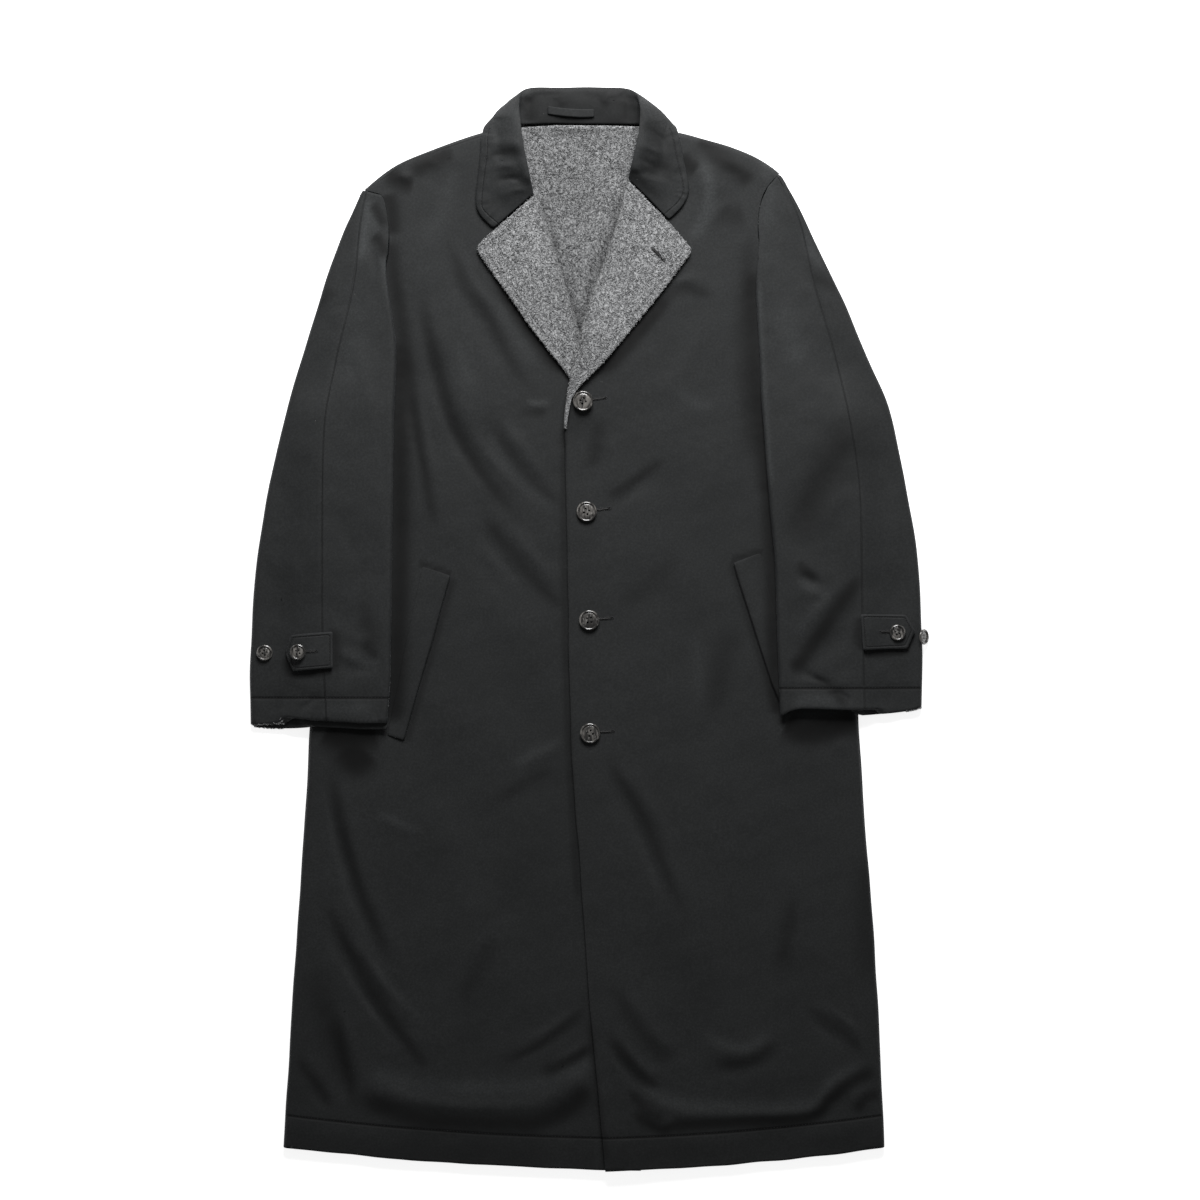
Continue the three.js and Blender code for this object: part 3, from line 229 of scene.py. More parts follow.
# Folds of the body, on the front: long ones that hang from the armholes to the closing, and swags
# over the hem
bodyFolds = [
    fold(8, -1.5, (-198, 400), (-190, 350), (-178, 300), (-165, 252), (-148, 212), (-126, 176),
         (-100, 142), (-76, 112), lean=0.3),
    fold(9, 1.5, (-176, 398), (-170, 350), (-158, 300), (-143, 254), (-128, 218), (-106, 186),
         (-78, 156), (-48, 128)),
    fold(6, -0.9, (-206, 320), (-203, 270), (-197, 220), (-188, 176), (-180, 130)),
    fold(7, 0.9, (-194, 310), (-191, 262), (-184, 216), (-174, 170), (-166, 128)),
    fold(8, 1.4, (-160, 448), (-142, 418), (-128, 388), (-108, 362), (-92, 330), (-78, 302), (-52, 272)),
    fold(8, -1.0, (-172, 430), (-156, 398), (-140, 372), (-122, 346), (-104, 312), (-86, 284)),
    fold(7, 1.4, (-100, 250), (-90, 224), (-74, 202), (-54, 178), (-30, 160)),
    fold(7, -1.0, (-118, 240), (-108, 212), (-92, 186), (-72, 160), (-40, 138)),
    fold(8, 1.5, (-110, 144), (-94, 118), (-72, 92), (-50, 66), (-26, 42)),
    fold(8, -1.2, (-128, 126), (-114, 100), (-94, 74), (-70, 44), (-46, 20)),
    fold(12, -0.9, (-150, 104), (-118, 66), (-84, 30), (-60, 8)),
    fold(5, 0.8, (-76, 262), (-58, 252), (-40, 254)),
    fold(6, -1.6, (-302, -160), (-292, -210), (-280, -260), (-266, -306), (-248, -346), (-226, -396),
         lean=0.35),
    fold(8, 1.3, (-280, -160), (-270, -212), (-258, -262), (-242, -306), (-224, -346), (-204, -388)),
    fold(7, -1.5, (-310, -300), (-292, -348), (-272, -386), (-252, -420), (-230, -452), (-200, -492),
         lean=0.3),
    fold(8, 1.4, (-290, -296), (-270, -342), (-250, -376), (-230, -408), (-206, -436), (-180, -470)),
    fold(9, 1.8, (-262, -514), (-200, -536), (-130, -543), (-60, -540), (-20, -520), (8, -498), fade=0.2),
    fold(7, -1.0, (-306, -420), (-294, -460), (-282, -508), (-274, -550)),
    fold(7, 1.0, (-284, -420), (-272, -462), (-260, -510), (-254, -550)),
    fold(6, -0.9, (-338, -490), (-312, -524), (-292, -552)),
    fold(7, 0.8, (-330, -474), (-302, -508), (-282, -540)),
    fold(7, 1.2, (-100, -488), (-60, -468), (-24, -442), (2, -418)),
    fold(6, -1.0, (-108, -502), (-66, -484), (-24, -460), (4, -434)),
    fold(6, 1.2, (-48, -496), (-14, -482), (8, -466)),
    fold(8, 0.9, (-24, -130), (-58, -148), (-96, -168)),
    fold(5, 0.8, (-246, -210), (-212, -226), (-184, -236)),
    fold(15, -0.8, (-30, -220), (-80, -300), (-130, -360)),
    fold(10, -1.2, (90, 184), (64, 166), (38, 144), (6, 132)),
    fold(12, -1.0, (17, 214), (8, 184), (0, 150)),
    fold(8, 1.1, (86, 386), (114, 394), (146, 386)),
    fold(14, -0.9, (120, 60), (128, 0), (122, -70), (130, -130)),
    fold(16, 0.8, (70, 40), (78, -20), (70, -80)),
    fold(6, -1.6, (8, -150), (26, -174), (46, -204), (64, -244), (82, -288), (108, -340), lean=-0.35),
    fold(8, 1.3, (30, -140), (48, -166), (68, -198), (88, -238), (104, -282), (128, -330)),
    fold(8, 1.8, (46, -508), (90, -546), (150, -552), (250, -548), (278, -524), (328, -494), fade=0.18),
    fold(5, 1.5, (24, -448), (48, -480), (68, -502), (92, -516)),
    fold(5, -1.2, (14, -462), (38, -494), (60, -518), (84, -532)),
    fold(5, 1.3, (52, -536), (70, -551), (88, -560), (104, -562)),
    fold(7, 0.9, (34, -396), (58, -434), (86, -470), (112, -484)),
    fold(8, 1.1, (120, -456), (146, -478), (176, -484), (202, -474), (222, -456)),
    fold(8, -0.9, (126, -496), (164, -502), (204, -494), (228, -474)),
    fold(6, 1.1, (256, -420), (292, -446), (318, -474)),
    fold(6, -0.9, (242, -436), (276, -462), (304, -490)),
    fold(10, 0.8, (246, -296), (238, -350), (228, -394)),
    fold(5, 1.1, (272, -142), (290, -134), (304, -136)),
    fold(5, 1.2, (296, -548), (312, -526), (332, -518)),
    fold(12, -0.9, (150, -250), (170, -330), (176, -400)),
    fold(8, 1.6, (-226, 522), (-210, 514), (-194, 508)),
    fold(8, 1.2, (-198, 524), (-180, 532), (-164, 538)),
    fold(12, 1.0, (-190, 510), (-176, 490), (-170, 460)),
    fold(9, 1.8, (128, 560), (146, 544), (164, 530), (186, 516)),
    fold(8, 1.4, (122, 536), (134, 508), (134, 478), (124, 450)),
    fold(10, -1.0, (150, 500), (156, 476), (158, 450)),
    fold(16, 0.9, (150, 400), (132, 340), (96, 280), (60, 250)),
    fold(15, -0.8, (176, 360), (160, 300), (120, 240)),
]
# Folds of the sleeves, round the elbow and over the cuff
sleeveFolds = {
    "right": [
        fold(9, 1.0, (-322, 352), (-300, 372), (-272, 386)),
        fold(8, -1.0, (-318, 340), (-296, 358), (-268, 372)),
        fold(9, -1.3, (-252, 470), (-244, 430), (-240, 390)),
        fold(13, 0.9, (-260, 330), (-250, 270), (-246, 200)),
        fold(13, -0.9, (-290, 130), (-262, 80), (-250, 20)),
        fold(12, 0.8, (-342, 120), (-332, 60), (-338, 10)),
        fold(6, 1.5, (-288, -24), (-266, -34), (-236, -36), lean=0.3),
        fold(6, -1.3, (-284, -38), (-262, -47), (-238, -48)),
        fold(7, 1.0, (-290, -2), (-262, -12), (-234, -12)),
        fold(5, -1.3, (-304, -72), (-314, -86), (-328, -102)),
        fold(6, 0.9, (-350, -52), (-330, -62), (-306, -60)),
    ],
    "left": [
        fold(8, 1.2, (246, 436), (258, 408), (272, 380)),
        fold(8, -1.1, (236, 430), (247, 402), (258, 370)),
        fold(16, -1.1, (276, 195), (256, 150), (236, 112)),
        fold(14, 1.0, (292, 180), (274, 130), (254, 92)),
        fold(9, 1.2, (298, 62), (276, 36), (252, 8), (226, -22)),
        fold(9, -1.2, (318, 42), (298, 14), (276, -18), (242, -50)),
        fold(5, -1.5, (234, 66), (252, 54), (276, 47)),
        fold(6, 1.2, (230, 54), (250, 41), (272, 34)),
        fold(5, -1.5, (230, -42), (254, -55), (282, -66)),
        fold(5, -1.3, (280, -66), (290, -78), (302, -92)),
        fold(12, 0.8, (340, 150), (346, 90), (342, 40)),
        fold(7, 0.9, (352, -34), (334, -48), (312, -50)),
    ],
}
# Short wrinkles over the collar's fall, from its roll
collarFolds = [
    fold(6, 1.3, (-70, 540), (-90, 548), (-112, 546)),
    fold(5, -1.3, (-69, 530), (-90, 536), (-114, 532)),
    fold(6, 1.2, (-67, 516), (-88, 522), (-112, 520)),
    fold(5, -1.2, (-66, 506), (-88, 508), (-108, 504)),
    fold(5, 1.0, (-64, 496), (-84, 494), (-102, 486)),
    fold(6, -1.1, (-76, 604), (-86, 596), (-98, 584)),
    fold(5, 1.0, (-70, 612), (-66, 604), (-60, 596)),
    fold(6, 1.2, (58, 585), (76, 574), (92, 560)),
    fold(5, -1.2, (57, 572), (74, 560), (92, 546)),
    fold(6, 1.0, (54, 548), (74, 540), (96, 530)),
    fold(5, -1.0, (52, 532), (72, 524), (96, 512)),
    fold(6, 0.9, (48, 516), (68, 506), (88, 492)),
    fold(5, -0.9, (40, 614), (44, 604), (46, 594)),
    fold(7, 0.8, (-30, 612), (-28, 600), (-32, 590)),
    fold(6, 0.7, (22, 613), (20, 602), (24, 592)),
]
# Soft folds in the back, where it lifts off the surface that it lies on
backFolds = [
    fold(14, 1.4, (-150, 440), (-170, 300), (-200, 120), (-210, -60)),
    fold(12, 1.2, (120, 450), (150, 320), (176, 180), (180, 60)),
    fold(12, 1.5, (-262, -220), (-220, -330), (-150, -420), (-60, -460)),
    fold(13, 1.3, (262, -180), (230, -310), (160, -410), (80, -450)),
    fold(15, 1.1, (-40, 380), (-20, 200), (10, 20), (6, -160)),
    fold(10, 1.2, (-240, -500), (-120, -540), (20, -548), (150, -530)),
]


# Painted shade in hollows, beside edges and under the cuffs and lapels, and painted highlights along ridges,
# put into the cloth's colour
bodyPaintedLight = [
    paintedLightStroke(8, -1.7, (-224, 444), (-220, 402), (-213, 360), (-209, 326), (-208, 280), fade=0.1),
    paintedLightStroke(10, -2.4, (-214, 330), (-212, 250), (-212, 150), (-213, 50), (-215, -30), (-220, -112), fade=0.05),
    paintedLightStroke(6, -1.12, (-203, 330), (-200, 280), (-195, 230), (-188, 190), (-178, 140), (-170, 108)),
    paintedLightStroke(7, -1.2, (-190, 400), (-183, 350), (-172, 300), (-158, 250), (-142, 212), (-120, 176),
          (-95, 145), (-68, 108)),
    paintedLightStroke(6, -0.83, (-168, 450), (-152, 424), (-140, 390), (-122, 366), (-105, 340), (-90, 310),
          (-75, 285), (-48, 258)),
    paintedLightStroke(6, -0.83, (-112, 252), (-100, 220), (-84, 194), (-64, 170), (-42, 150), (-24, 140)),
    paintedLightStroke(6, -1.12, (-122, 138), (-105, 110), (-84, 84), (-60, 55), (-38, 32), (-24, 20)),
    paintedLightStroke(5, -0.6, (-78, 249), (-60, 243), (-44, 249)),
    paintedLightStroke(7, 0.44, (-116, 232), (-96, 196), (-66, 160), (-30, 124)),
    paintedLightStroke(8, 0.38, (-150, 330), (-140, 300), (-124, 262)),
    paintedLightStroke(8, 0.38, (-106, 388), (-92, 354), (-72, 318), (-50, 290)),
    paintedLightStroke(5, 0.44, (-72, 260), (-56, 254), (-38, 256)),
    paintedLightStroke(9, -2.2, (-228, 518), (-212, 506), (-196, 503), fade=0.2),
    paintedLightStroke(8, -1.8, (-204, 514), (-184, 526), (-166, 533), (-150, 540), fade=0.2),
    paintedLightStroke(8, -2.2, (-227, 494), (-222, 472), (-221, 444), fade=0.15),
    paintedLightStroke(11, 0.38, (-160, 538), (-154, 505), (-166, 470), (-190, 430)),
    paintedLightStroke(7, -3.4, (-108, 402), (-83, 366), (-59, 332), (-41, 308), (-24, 286), fade=0.2),
    paintedLightStroke(4, -0.9, (-28, 236), (-27, 150), (-26, 50), (-24, -60), (-18, -190), (-10, -320), fade=0.05),
    paintedLightStroke(15, -3.2, (-298, -114), (-272, -128), (-238, -116), fade=0.12),
    paintedLightStroke(15, -3.2, (-274, -134), (-262, -150), (-250, -138), fade=0.2),
    paintedLightStroke(6, -1.2, (-294, -150), (-284, -200), (-272, -250), (-257, -300), (-240, -340), (-216, -392)),
    paintedLightStroke(6, -1.3, (-304, -290), (-282, -342), (-262, -380), (-244, -410), (-222, -444), (-192, -486),
          (-176, -504)),
    paintedLightStroke(9, 0.3, (-250, -362), (-226, -402), (-202, -430), (-178, -452)),
    paintedLightStroke(7, 0.5, (-22, -122), (-56, -140), (-92, -160)),
    paintedLightStroke(7, -0.6, (-34, -158), (-70, -176), (-108, -198)),
    paintedLightStroke(5, 0.5, (-244, -206), (-212, -222), (-186, -232)),
    paintedLightStroke(16, -0.75, (-316, -380), (-300, -430), (-284, -480), (-274, -530)),
    paintedLightStroke(6, -1.05, (-290, -430), (-280, -470), (-270, -510), (-264, -552)),
    paintedLightStroke(5, -0.9, (-334, -482), (-308, -516), (-288, -548)),
    paintedLightStroke(12, 0.7, (-266, -498), (-200, -517), (-130, -522), (-60, -518), (-14, -500), (10, -480), fade=0.12),
    paintedLightStroke(10, -2.1, (-268, -528), (-200, -554), (-130, -561), (-60, -560), (-22, -544), (8, -518), fade=0.1),
    paintedLightStroke(20, -0.35, (-220, -582), (-130, -592), (-40, -594), fade=0.15),
    paintedLightStroke(6, -0.6, (-104, -496), (-62, -476), (-24, -450), (4, -424)),
    paintedLightStroke(6, -1.4, (-58, -507), (-22, -492), (10, -470)),
    paintedLightStroke(10, -0.52, (-100, -346), (-124, -384), (-150, -432)),
    paintedLightStroke(9, -2.1, (187, 410), (188, 350), (190, 300), (195, 250), (200, 200), (205, 150), fade=0.06),
    paintedLightStroke(8, -2.0, (204, 170), (208, 100), (210, 50), (210, 0), (213, -60), (218, -98), fade=0.04),
    paintedLightStroke(10, -0.75, (186, 460), (182, 400), (176, 330), (182, 250), (190, 170), fade=0.2),
    paintedLightStroke(9, -2.0, (124, 556), (146, 538), (166, 522), (188, 504), fade=0.12),
    paintedLightStroke(8, -2.6, (104, 536), (114, 525), (124, 518), fade=0.2),
    paintedLightStroke(14, -0.9, (150, 478), (164, 468), (180, 470)),
    paintedLightStroke(8, 0.8, (118, 548), (136, 514), (138, 482), (126, 452), (106, 434)),
    paintedLightStroke(7, 0.5, (198, 532), (204, 520), (200, 506), fade=0.2),
    paintedLightStroke(6, -0.83, (84, 376), (112, 384), (146, 376)),
    paintedLightStroke(8, -0.75, (6, 178), (9, 206), (16, 240)),
    paintedLightStroke(5, -1.05, (16, 148), (42, 160), (68, 178), (92, 194)),
    paintedLightStroke(8, -3.6, (95, 384), (68, 350), (40, 317), (8, 284), fade=0.2),
    paintedLightStroke(11, -0.45, (110, 92), (72, 52), (34, 26)),
    paintedLightStroke(8, 0.38, (96, 278), (120, 256), (150, 250)),
    paintedLightStroke(12, -3.4, (224, -108), (246, -118), (276, -114), (306, -104), fade=0.08),
    paintedLightStroke(5, -1.12, (18, -146), (36, -170), (56, -200), (75, -240), (92, -284), (118, -336)),
    paintedLightStroke(14, -0.6, (168, 10), (150, -50), (143, -112)),
    paintedLightStroke(9, 0.31, (122, 0), (127, -50), (128, -96)),
    paintedLightStroke(8, 0.6, (56, -512), (94, -536), (150, -541), (250, -538), (280, -512), (324, -490), fade=0.12),
    paintedLightStroke(6.5, -2.21, (84, -566), (130, -563), (190, -560), (252, -556), (274, -535), (296, -515),
          (330, -500), fade=0.08),
    paintedLightStroke(5, -1.5, (20, -456), (44, -488), (64, -510), (88, -524)),
    paintedLightStroke(5, -1.69, (48, -546), (66, -560), (84, -569), (100, -570)),
    paintedLightStroke(5, -1.05, (44, -520), (66, -546), (92, -560)),
    paintedLightStroke(8, -0.75, (24, -400), (48, -438), (78, -478), (104, -492)),
    paintedLightStroke(7, 0.56, (124, -452), (146, -468), (172, -476), (196, -466), (212, -452)),
    paintedLightStroke(6, -1.05, (140, -494), (172, -494), (196, -484), (216, -466)),
    paintedLightStroke(5, -0.8, (244, -426), (284, -454), (316, -484)),
    paintedLightStroke(9, -0.75, (236, -296), (226, -350), (216, -394)),
    paintedLightStroke(6, -1.35, (302, -554), (316, -534), (334, -528)),
    paintedLightStroke(14, -0.6, (318, -250), (316, -330), (322, -410)),
    paintedLightStroke(18, -0.5, (10, -602), (150, -592), (250, -586), (340, -580), fade=0.02),
    paintedLightStroke(18, -0.5, (-346, -578), (-250, -592), (-130, -598), (12, -602), fade=0.02),
    paintedLightStroke(4, -0.9, (-152, 58), (-206, -130), fade=0.02),
    paintedLightStroke(4, -0.9, (163, 74), (221, -112), fade=0.02),
    paintedLightStroke(3, -1.3, (-191, 74), (-154, 61), fade=0.02),
    paintedLightStroke(3, -1.3, (163, 77), (198, 88), fade=0.02),
    paintedLightStroke(4, -0.75, (2, -440), (8, -500), (16, -560), (22, -606), fade=0.1),
]
# painted highlights along the sleeve seams and ridges, and painted shade in the sleeves' folds and by the
# cuffs
sleevePaintedLight = {
    "right": [
        paintedLightStroke(7, 1.0, (-249, 498), (-250, 470), (-254, 440), (-260, 400)),
        paintedLightStroke(6, 0.7, (-246, 480), (-240, 455), (-236, 430), (-226, 392), (-220, 350)),
        paintedLightStroke(20, 0.44, (-262, 400), (-262, 330), (-270, 260)),
        paintedLightStroke(6, -0.9, (-318, 350), (-302, 372), (-282, 386)),
        paintedLightStroke(6, -2.2, (-244, 446), (-235, 438), (-227, 418), fade=0.2),
        paintedLightStroke(5, -1.4, (-245, 482), (-237, 470), (-229, 454), fade=0.2),
        paintedLightStroke(9, -0.6, (-256, 40), (-248, 4), (-242, -30)),
        paintedLightStroke(5, 0.6, (-272, -30), (-252, -40), (-230, -38)),
        paintedLightStroke(5, -1.05, (-256, -16), (-244, -28), (-236, -30)),
        paintedLightStroke(6, -1.2, (-288, 0), (-285, -24), (-286, -50), fade=0.1),
        paintedLightStroke(4, -1.35, (-286, -50), (-312, -51), (-334, -53), (-345, -34), fade=0.1),
        paintedLightStroke(8, 0.5, (-304, -92), (-270, -90), (-236, -92)),
    ],
    "left": [
        paintedLightStroke(10, 0.5, (212, 508), (206, 486), (202, 452)),
        paintedLightStroke(6, 0.7, (242, 456), (254, 428), (272, 404)),
        paintedLightStroke(16, 0.5, (216, 380), (232, 330), (244, 290)),
        paintedLightStroke(6, -0.75, (254, 402), (270, 392), (288, 384)),
        paintedLightStroke(18, -1.2, (302, 246), (284, 204), (262, 162), (246, 124), (238, 92)),
        paintedLightStroke(5, -1.2, (236, 76), (246, 66), (262, 52)),
        paintedLightStroke(5, 0.3, (240, 52), (258, 42), (278, 38)),
        paintedLightStroke(7, -2.34, (312, 62), (296, 40), (280, 18), (262, -8), (240, -38), (226, -46), fade=0.18),
        paintedLightStroke(6, 0.35, (276, 42), (252, 14), (230, -18)),
        paintedLightStroke(5, -1.2, (252, -54), (276, -68), (296, -90)),
        paintedLightStroke(6, -1.35, (309, 14), (307, -6), (311, -26), fade=0.1),
        paintedLightStroke(4, -1.5, (312, -29), (336, -28), (360, -27), fade=0.1),
        paintedLightStroke(8, 0.6, (226, -82), (256, -82), (290, -84)),
        paintedLightStroke(4, 0.6, (194, 400), (197, 320), (202, 240), (209, 150), fade=0.1),
    ],
}
# painted highlights along the collar's roll, and painted shade in its wrinkles and over the stand
collarPaintedLight = [
    paintedLightStroke(6, 0.35, (-68, 506), (-75, 535), (-81, 565), (-82, 588), fade=0.1),
    paintedLightStroke(6, 0.35, (53, 515), (58, 538), (65, 562), (64, 585), fade=0.1),
    paintedLightStroke(5, -0.6, (-72, 532), (-92, 538), (-112, 534)),
    paintedLightStroke(5, -0.6, (-68, 504), (-90, 508), (-112, 503)),
    paintedLightStroke(5, -0.5, (-76, 604), (-86, 592), (-96, 584)),
    paintedLightStroke(5, -0.7, (58, 520), (78, 520), (98, 524)),
    paintedLightStroke(5, -0.5, (60, 568), (76, 556), (90, 546)),
    paintedLightStroke(5, -0.4, (50, 505), (68, 496), (84, 484)),
    paintedLightStroke(8, -1.3, (-69, 604), (-68, 590), (-66, 574), fade=0.15),
    paintedLightStroke(8, -1.3, (50, 606), (48, 590), (46, 574), fade=0.15),
    paintedLightStroke(6, -0.6, (-60, 575), (-20, 574), (20, 574), (44, 575), fade=0.1),
    paintedLightStroke(26, -0.95, (-66, 596), (-10, 596), (46, 596), fade=0.02),
    paintedLightStroke(24, -0.65, (58, 588), (76, 550), (84, 500), fade=0.1),
    paintedLightStroke(4, -0.5, (-34, 612), (-30, 600), (-33, 592)),
    paintedLightStroke(4, -0.5, (16, 613), (20, 600), (15, 590)),
]
# painted shade on the wool along the neck seam, the lapels' roll lines and beside the collar
woolPaintedShade = [
    paintedLightStroke(9, -1.0, (-78, 570), (-40, 571), (0, 571), (56, 571), fade=0.06),
    paintedLightStroke(7, -0.7, (-56, 490), (-44, 447), (-29, 395), (-12, 342), (-3, 312), fade=0.1),
    paintedLightStroke(8, -0.8, (44, 500), (28, 447), (11, 395), (-5, 345), (-12, 316), fade=0.1),
    paintedLightStroke(9, -0.5, (-78, 560), (-76, 530), (-62, 500), fade=0.1),
    paintedLightStroke(9, -0.5, (62, 560), (58, 530), (46, 508), fade=0.1),
]

# the back's wool takes the same painted shade, and a broad painted shade over its middle where it lies deeper
liningPaintedShade = woolPaintedShade + [paintedLightStroke(90, -0.42, (-8, 620), (-8, 480), (-8, 300), fade=0.01)]


# the painted shade and highlights of the strokes at each point, in stops
def paintedLightOf(x, y, paintedStrokes):
    total = np.zeros(len(x))
    for tone in paintedStrokes:
        path = smoothPath(tone["path"])
        reach = 3 * tone["width"]
        low, high = path.min(0) - reach, path.max(0) + reach
        near = (x > low[0]) & (x < high[0]) & (y > low[1]) & (y < high[1])
        if near.any():
            d, _, along = fromPath(x[near], y[near], path)
            fade = smoothStep(0, tone["fade"], np.minimum(along, 1 - along))
            total[near] += tone["tone"] * fade * np.exp(-(d / tone["width"]) ** 2)
    return total


# soft unevenness of the cloth: the height, the size and the seed of each layer of noise
noiseLayers = {
    "body": [(0.9, 120, 3), (0.4, 46, 4), (0.1, 19, 5)],
    "sleeve": [(0.8, 90, 11), (0.3, 38, 12), (0.1, 17, 13)],
    "collar": [(0.4, 26, 21)], "lining": [(0.35, 40, 41)], "loop": [(0.2, 14, 51)],
}
# where the relief dies away, as two places or distances with the change between them
quiet = {
    "side": (2, 30), "armhole": (2, 22), "shoulder": (3, 24), "hem": (0, 30), "armpit": 248,
    "underSleeve": (-6, 14), "sleeveEnd": (-114, -92), "collar": (440, 478), "collarSides": (140, 120),
    "covered": 0.75, "atHem": 0.35, "sleeveOuter": (1, 16), "sleeveInner": (1, 12), "sleeveTop": (500, 470),
    "backSide": (6, 50), "backShoulder": (6, 60), "backHem": (4, 40), "backHemUp": 24, "backHighest": 1.6,
    "rippleFoot": (22, 7), "rippleEdge": (0, 3),
}


def unevenness(x, y, piece):
    return sum(height * softNoise(x, y, size, seed) for height, size, seed in noiseLayers[piece])


def bodyRelief(x, y):
    relief = foldRelief(x, y, bodyFolds) + unevenness(x, y, "body")
    low = np.minimum(y, quiet["armpit"])
    fade = np.ones(len(x))
    for side, out in outward.items():
        inward = (sideEdge[side](low) - x) * out
        own = x * out > 0
        fade *= np.where(own, smoothStep(*quiet["side"], inward), 1)
        armhole = (sideEdge[side](y) - x) * out
        fade *= np.where(own & (y > quiet["armpit"]), smoothStep(*quiet["armhole"], armhole), 1)
        under = (x - sleeveInner[side](y)) * out
        covered = smoothStep(*quiet["underSleeve"], under) * smoothStep(*quiet["sleeveEnd"], y)
        fade *= 1 - quiet["covered"] * np.where(own, covered, 0)
    fade *= smoothStep(*quiet["shoulder"], shoulderLine(x) - y)
    collar = smoothStep(*quiet["collar"], y) * smoothStep(*quiet["collarSides"], np.abs(x + 6))
    fade *= 1 - quiet["covered"] * collar
    fade *= quiet["atHem"] + (1 - quiet["atHem"]) * smoothStep(*quiet["hem"], y - hemLine(x))
    return relief * fade


def sleeveRelief(side):
    def relief(x, y):
        out = outward[side]
        height = foldRelief(x, y, sleeveFolds[side]) + unevenness(x, y, "sleeve")
        fade = smoothStep(*quiet["sleeveOuter"], (sleeveOuter[side](y) - x) * out)
        fade *= smoothStep(*quiet["sleeveInner"], (x - sleeveInner[side](y)) * out)
        fade *= smoothStep(*quiet["sleeveTop"], y)
        return height * fade
    return relief


collarRoll = [
    fold(7, 2.6, (-66, 500), (-73, 530), (-79, 560), (-82, 585), (-76, 600), fade=0.08),
    fold(7, 2.6, (52, 512), (57, 535), (64, 560), (65, 580), (58, 600), fade=0.08),
    fold(8, -1.5, (-92, 500), (-98, 530), (-100, 560), (-98, 580), fade=0.1),
    fold(8, -1.5, (78, 505), (84, 530), (84, 555), (82, 575), fade=0.1),
    fold(5, 1.0, (-74, 606), (-50, 610), (-9, 610), (30, 610), (54, 606), fade=0.05),
]


def collarRelief(x, y):
    height = 1.5 * foldRelief(x, y, collarFolds) + foldRelief(x, y, collarRoll) + unevenness(x, y, "collar")
    for line, length in ((collarPattern["edge"], 120), (collarPattern["leftEdge"], 115)):
        away, _, along = fromPath(x, y, smoothPath(line))
        ripple = np.sin(along * length / 1.7 + 1.5 * np.sin(9 * along)) * np.sin(0.4 + 14 * along)
        foot = smoothStep(*quiet["rippleFoot"], away)
        height += 0.35 * ripple * foot * smoothStep(*quiet["rippleEdge"], away)
    return height


def backRelief(x, y):
    height = foldRelief(x, y, backFolds)
    fade = np.ones(len(x))
    for side, out in outward.items():
        inward = (sideEdge[side](np.minimum(y, quiet["armpit"])) - x) * out
        fade *= np.where(x * out > 0, smoothStep(*quiet["backSide"], inward), 1)
    aboveHem = y - hemLine(x) - quiet["backHemUp"]
    fade *= smoothStep(*quiet["backShoulder"], shoulderLine(x) - y) * smoothStep(*quiet["backHem"], aboveHem)
    return np.clip(height, 0, quiet["backHighest"]) * fade


# Shells of cloth on the solid pieces

def pieceObject(name, mesh, slot, *stoodFor):
    piece = bpy.data.objects.new(name, mesh)
    scene.collection.objects.link(piece)
    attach(piece, "root")
    if stoodFor:
        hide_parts(*stoodFor)
    return piece


def smoothedShell(node, rimCrease, rounds, longest):
    # a welded, rounded copy of a solid, with its long edges split
    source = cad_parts[node].data
    bm = bmesh.new()
    verts = [bm.verts.new(v.co) for v in source.vertices]
    for polygon in source.polygons:
        bm.faces.new([verts[k] for k in polygon.vertices])
    bmesh.ops.remove_doubles(bm, verts=bm.verts, dist=0.02 * mm)
    bmesh.ops.join_triangles(bm, faces=bm.faces, angle_face_threshold=math.pi, angle_shape_threshold=math.pi)
    crease = bm.edges.layers.float.new("crease_edge")
    for edge in bm.edges:
        if len(edge.link_faces) == 2 and edge.calc_face_angle() > 0.9:
            edge[crease] = rimCrease
    mesh = bpy.data.meshes.new(node + "_cloth")
    bm.to_mesh(mesh)
    bm.free()
    holder = bpy.data.objects.new(node + "_holder", mesh)
    scene.collection.objects.link(holder)
    rounded = holder.modifiers.new("rounded", "SUBSURF")
    rounded.levels = rounded.render_levels = rounds
    bpy.context.view_layer.update()
    smooth = bpy.data.meshes.new_from_object(holder.evaluated_get(bpy.context.evaluated_depsgraph_get()))
    bpy.data.objects.remove(holder)
    bpy.data.meshes.remove(mesh)
    bm = bmesh.new()
    bm.from_mesh(smooth)
    bmesh.ops.triangulate(bm, faces=bm.faces)
    for _ in range(5):
        bm.normal_update()
        split = {edge for edge in bm.edges if edge.calc_length() > mm * (
            longest if max(edge.verts[0].normal.z, edge.verts[1].normal.z) > -0.3 else 4.0 * longest)}
        if not split:
            break
        spread = True
        while spread:
            # a triangle with two cut edges gets its third cut too, so that none is left thin
            spread = False
            for face in bm.faces:
                whole = [edge for edge in face.edges if edge not in split]
                if len(whole) == 1:
                    split.add(whole[0])
                    spread = True
        bmesh.ops.subdivide_edges(bm, edges=list(split), cuts=1, use_grid_fill=True)
        bmesh.ops.triangulate(bm, faces=[face for face in bm.faces if len(face.verts) > 3])
    bm.to_mesh(smooth)
    bm.free()
    smooth.name = node + "_cloth"
    return smooth


def coordinates(mesh):
    co = np.zeros(len(mesh.vertices) * 3)
    mesh.vertices.foreach_get("co", co)
    return co.reshape(-1, 3)


def patternXY(co):
    return co[:, 0] / mm - patternShift[0], co[:, 1] / mm - patternShift[1]


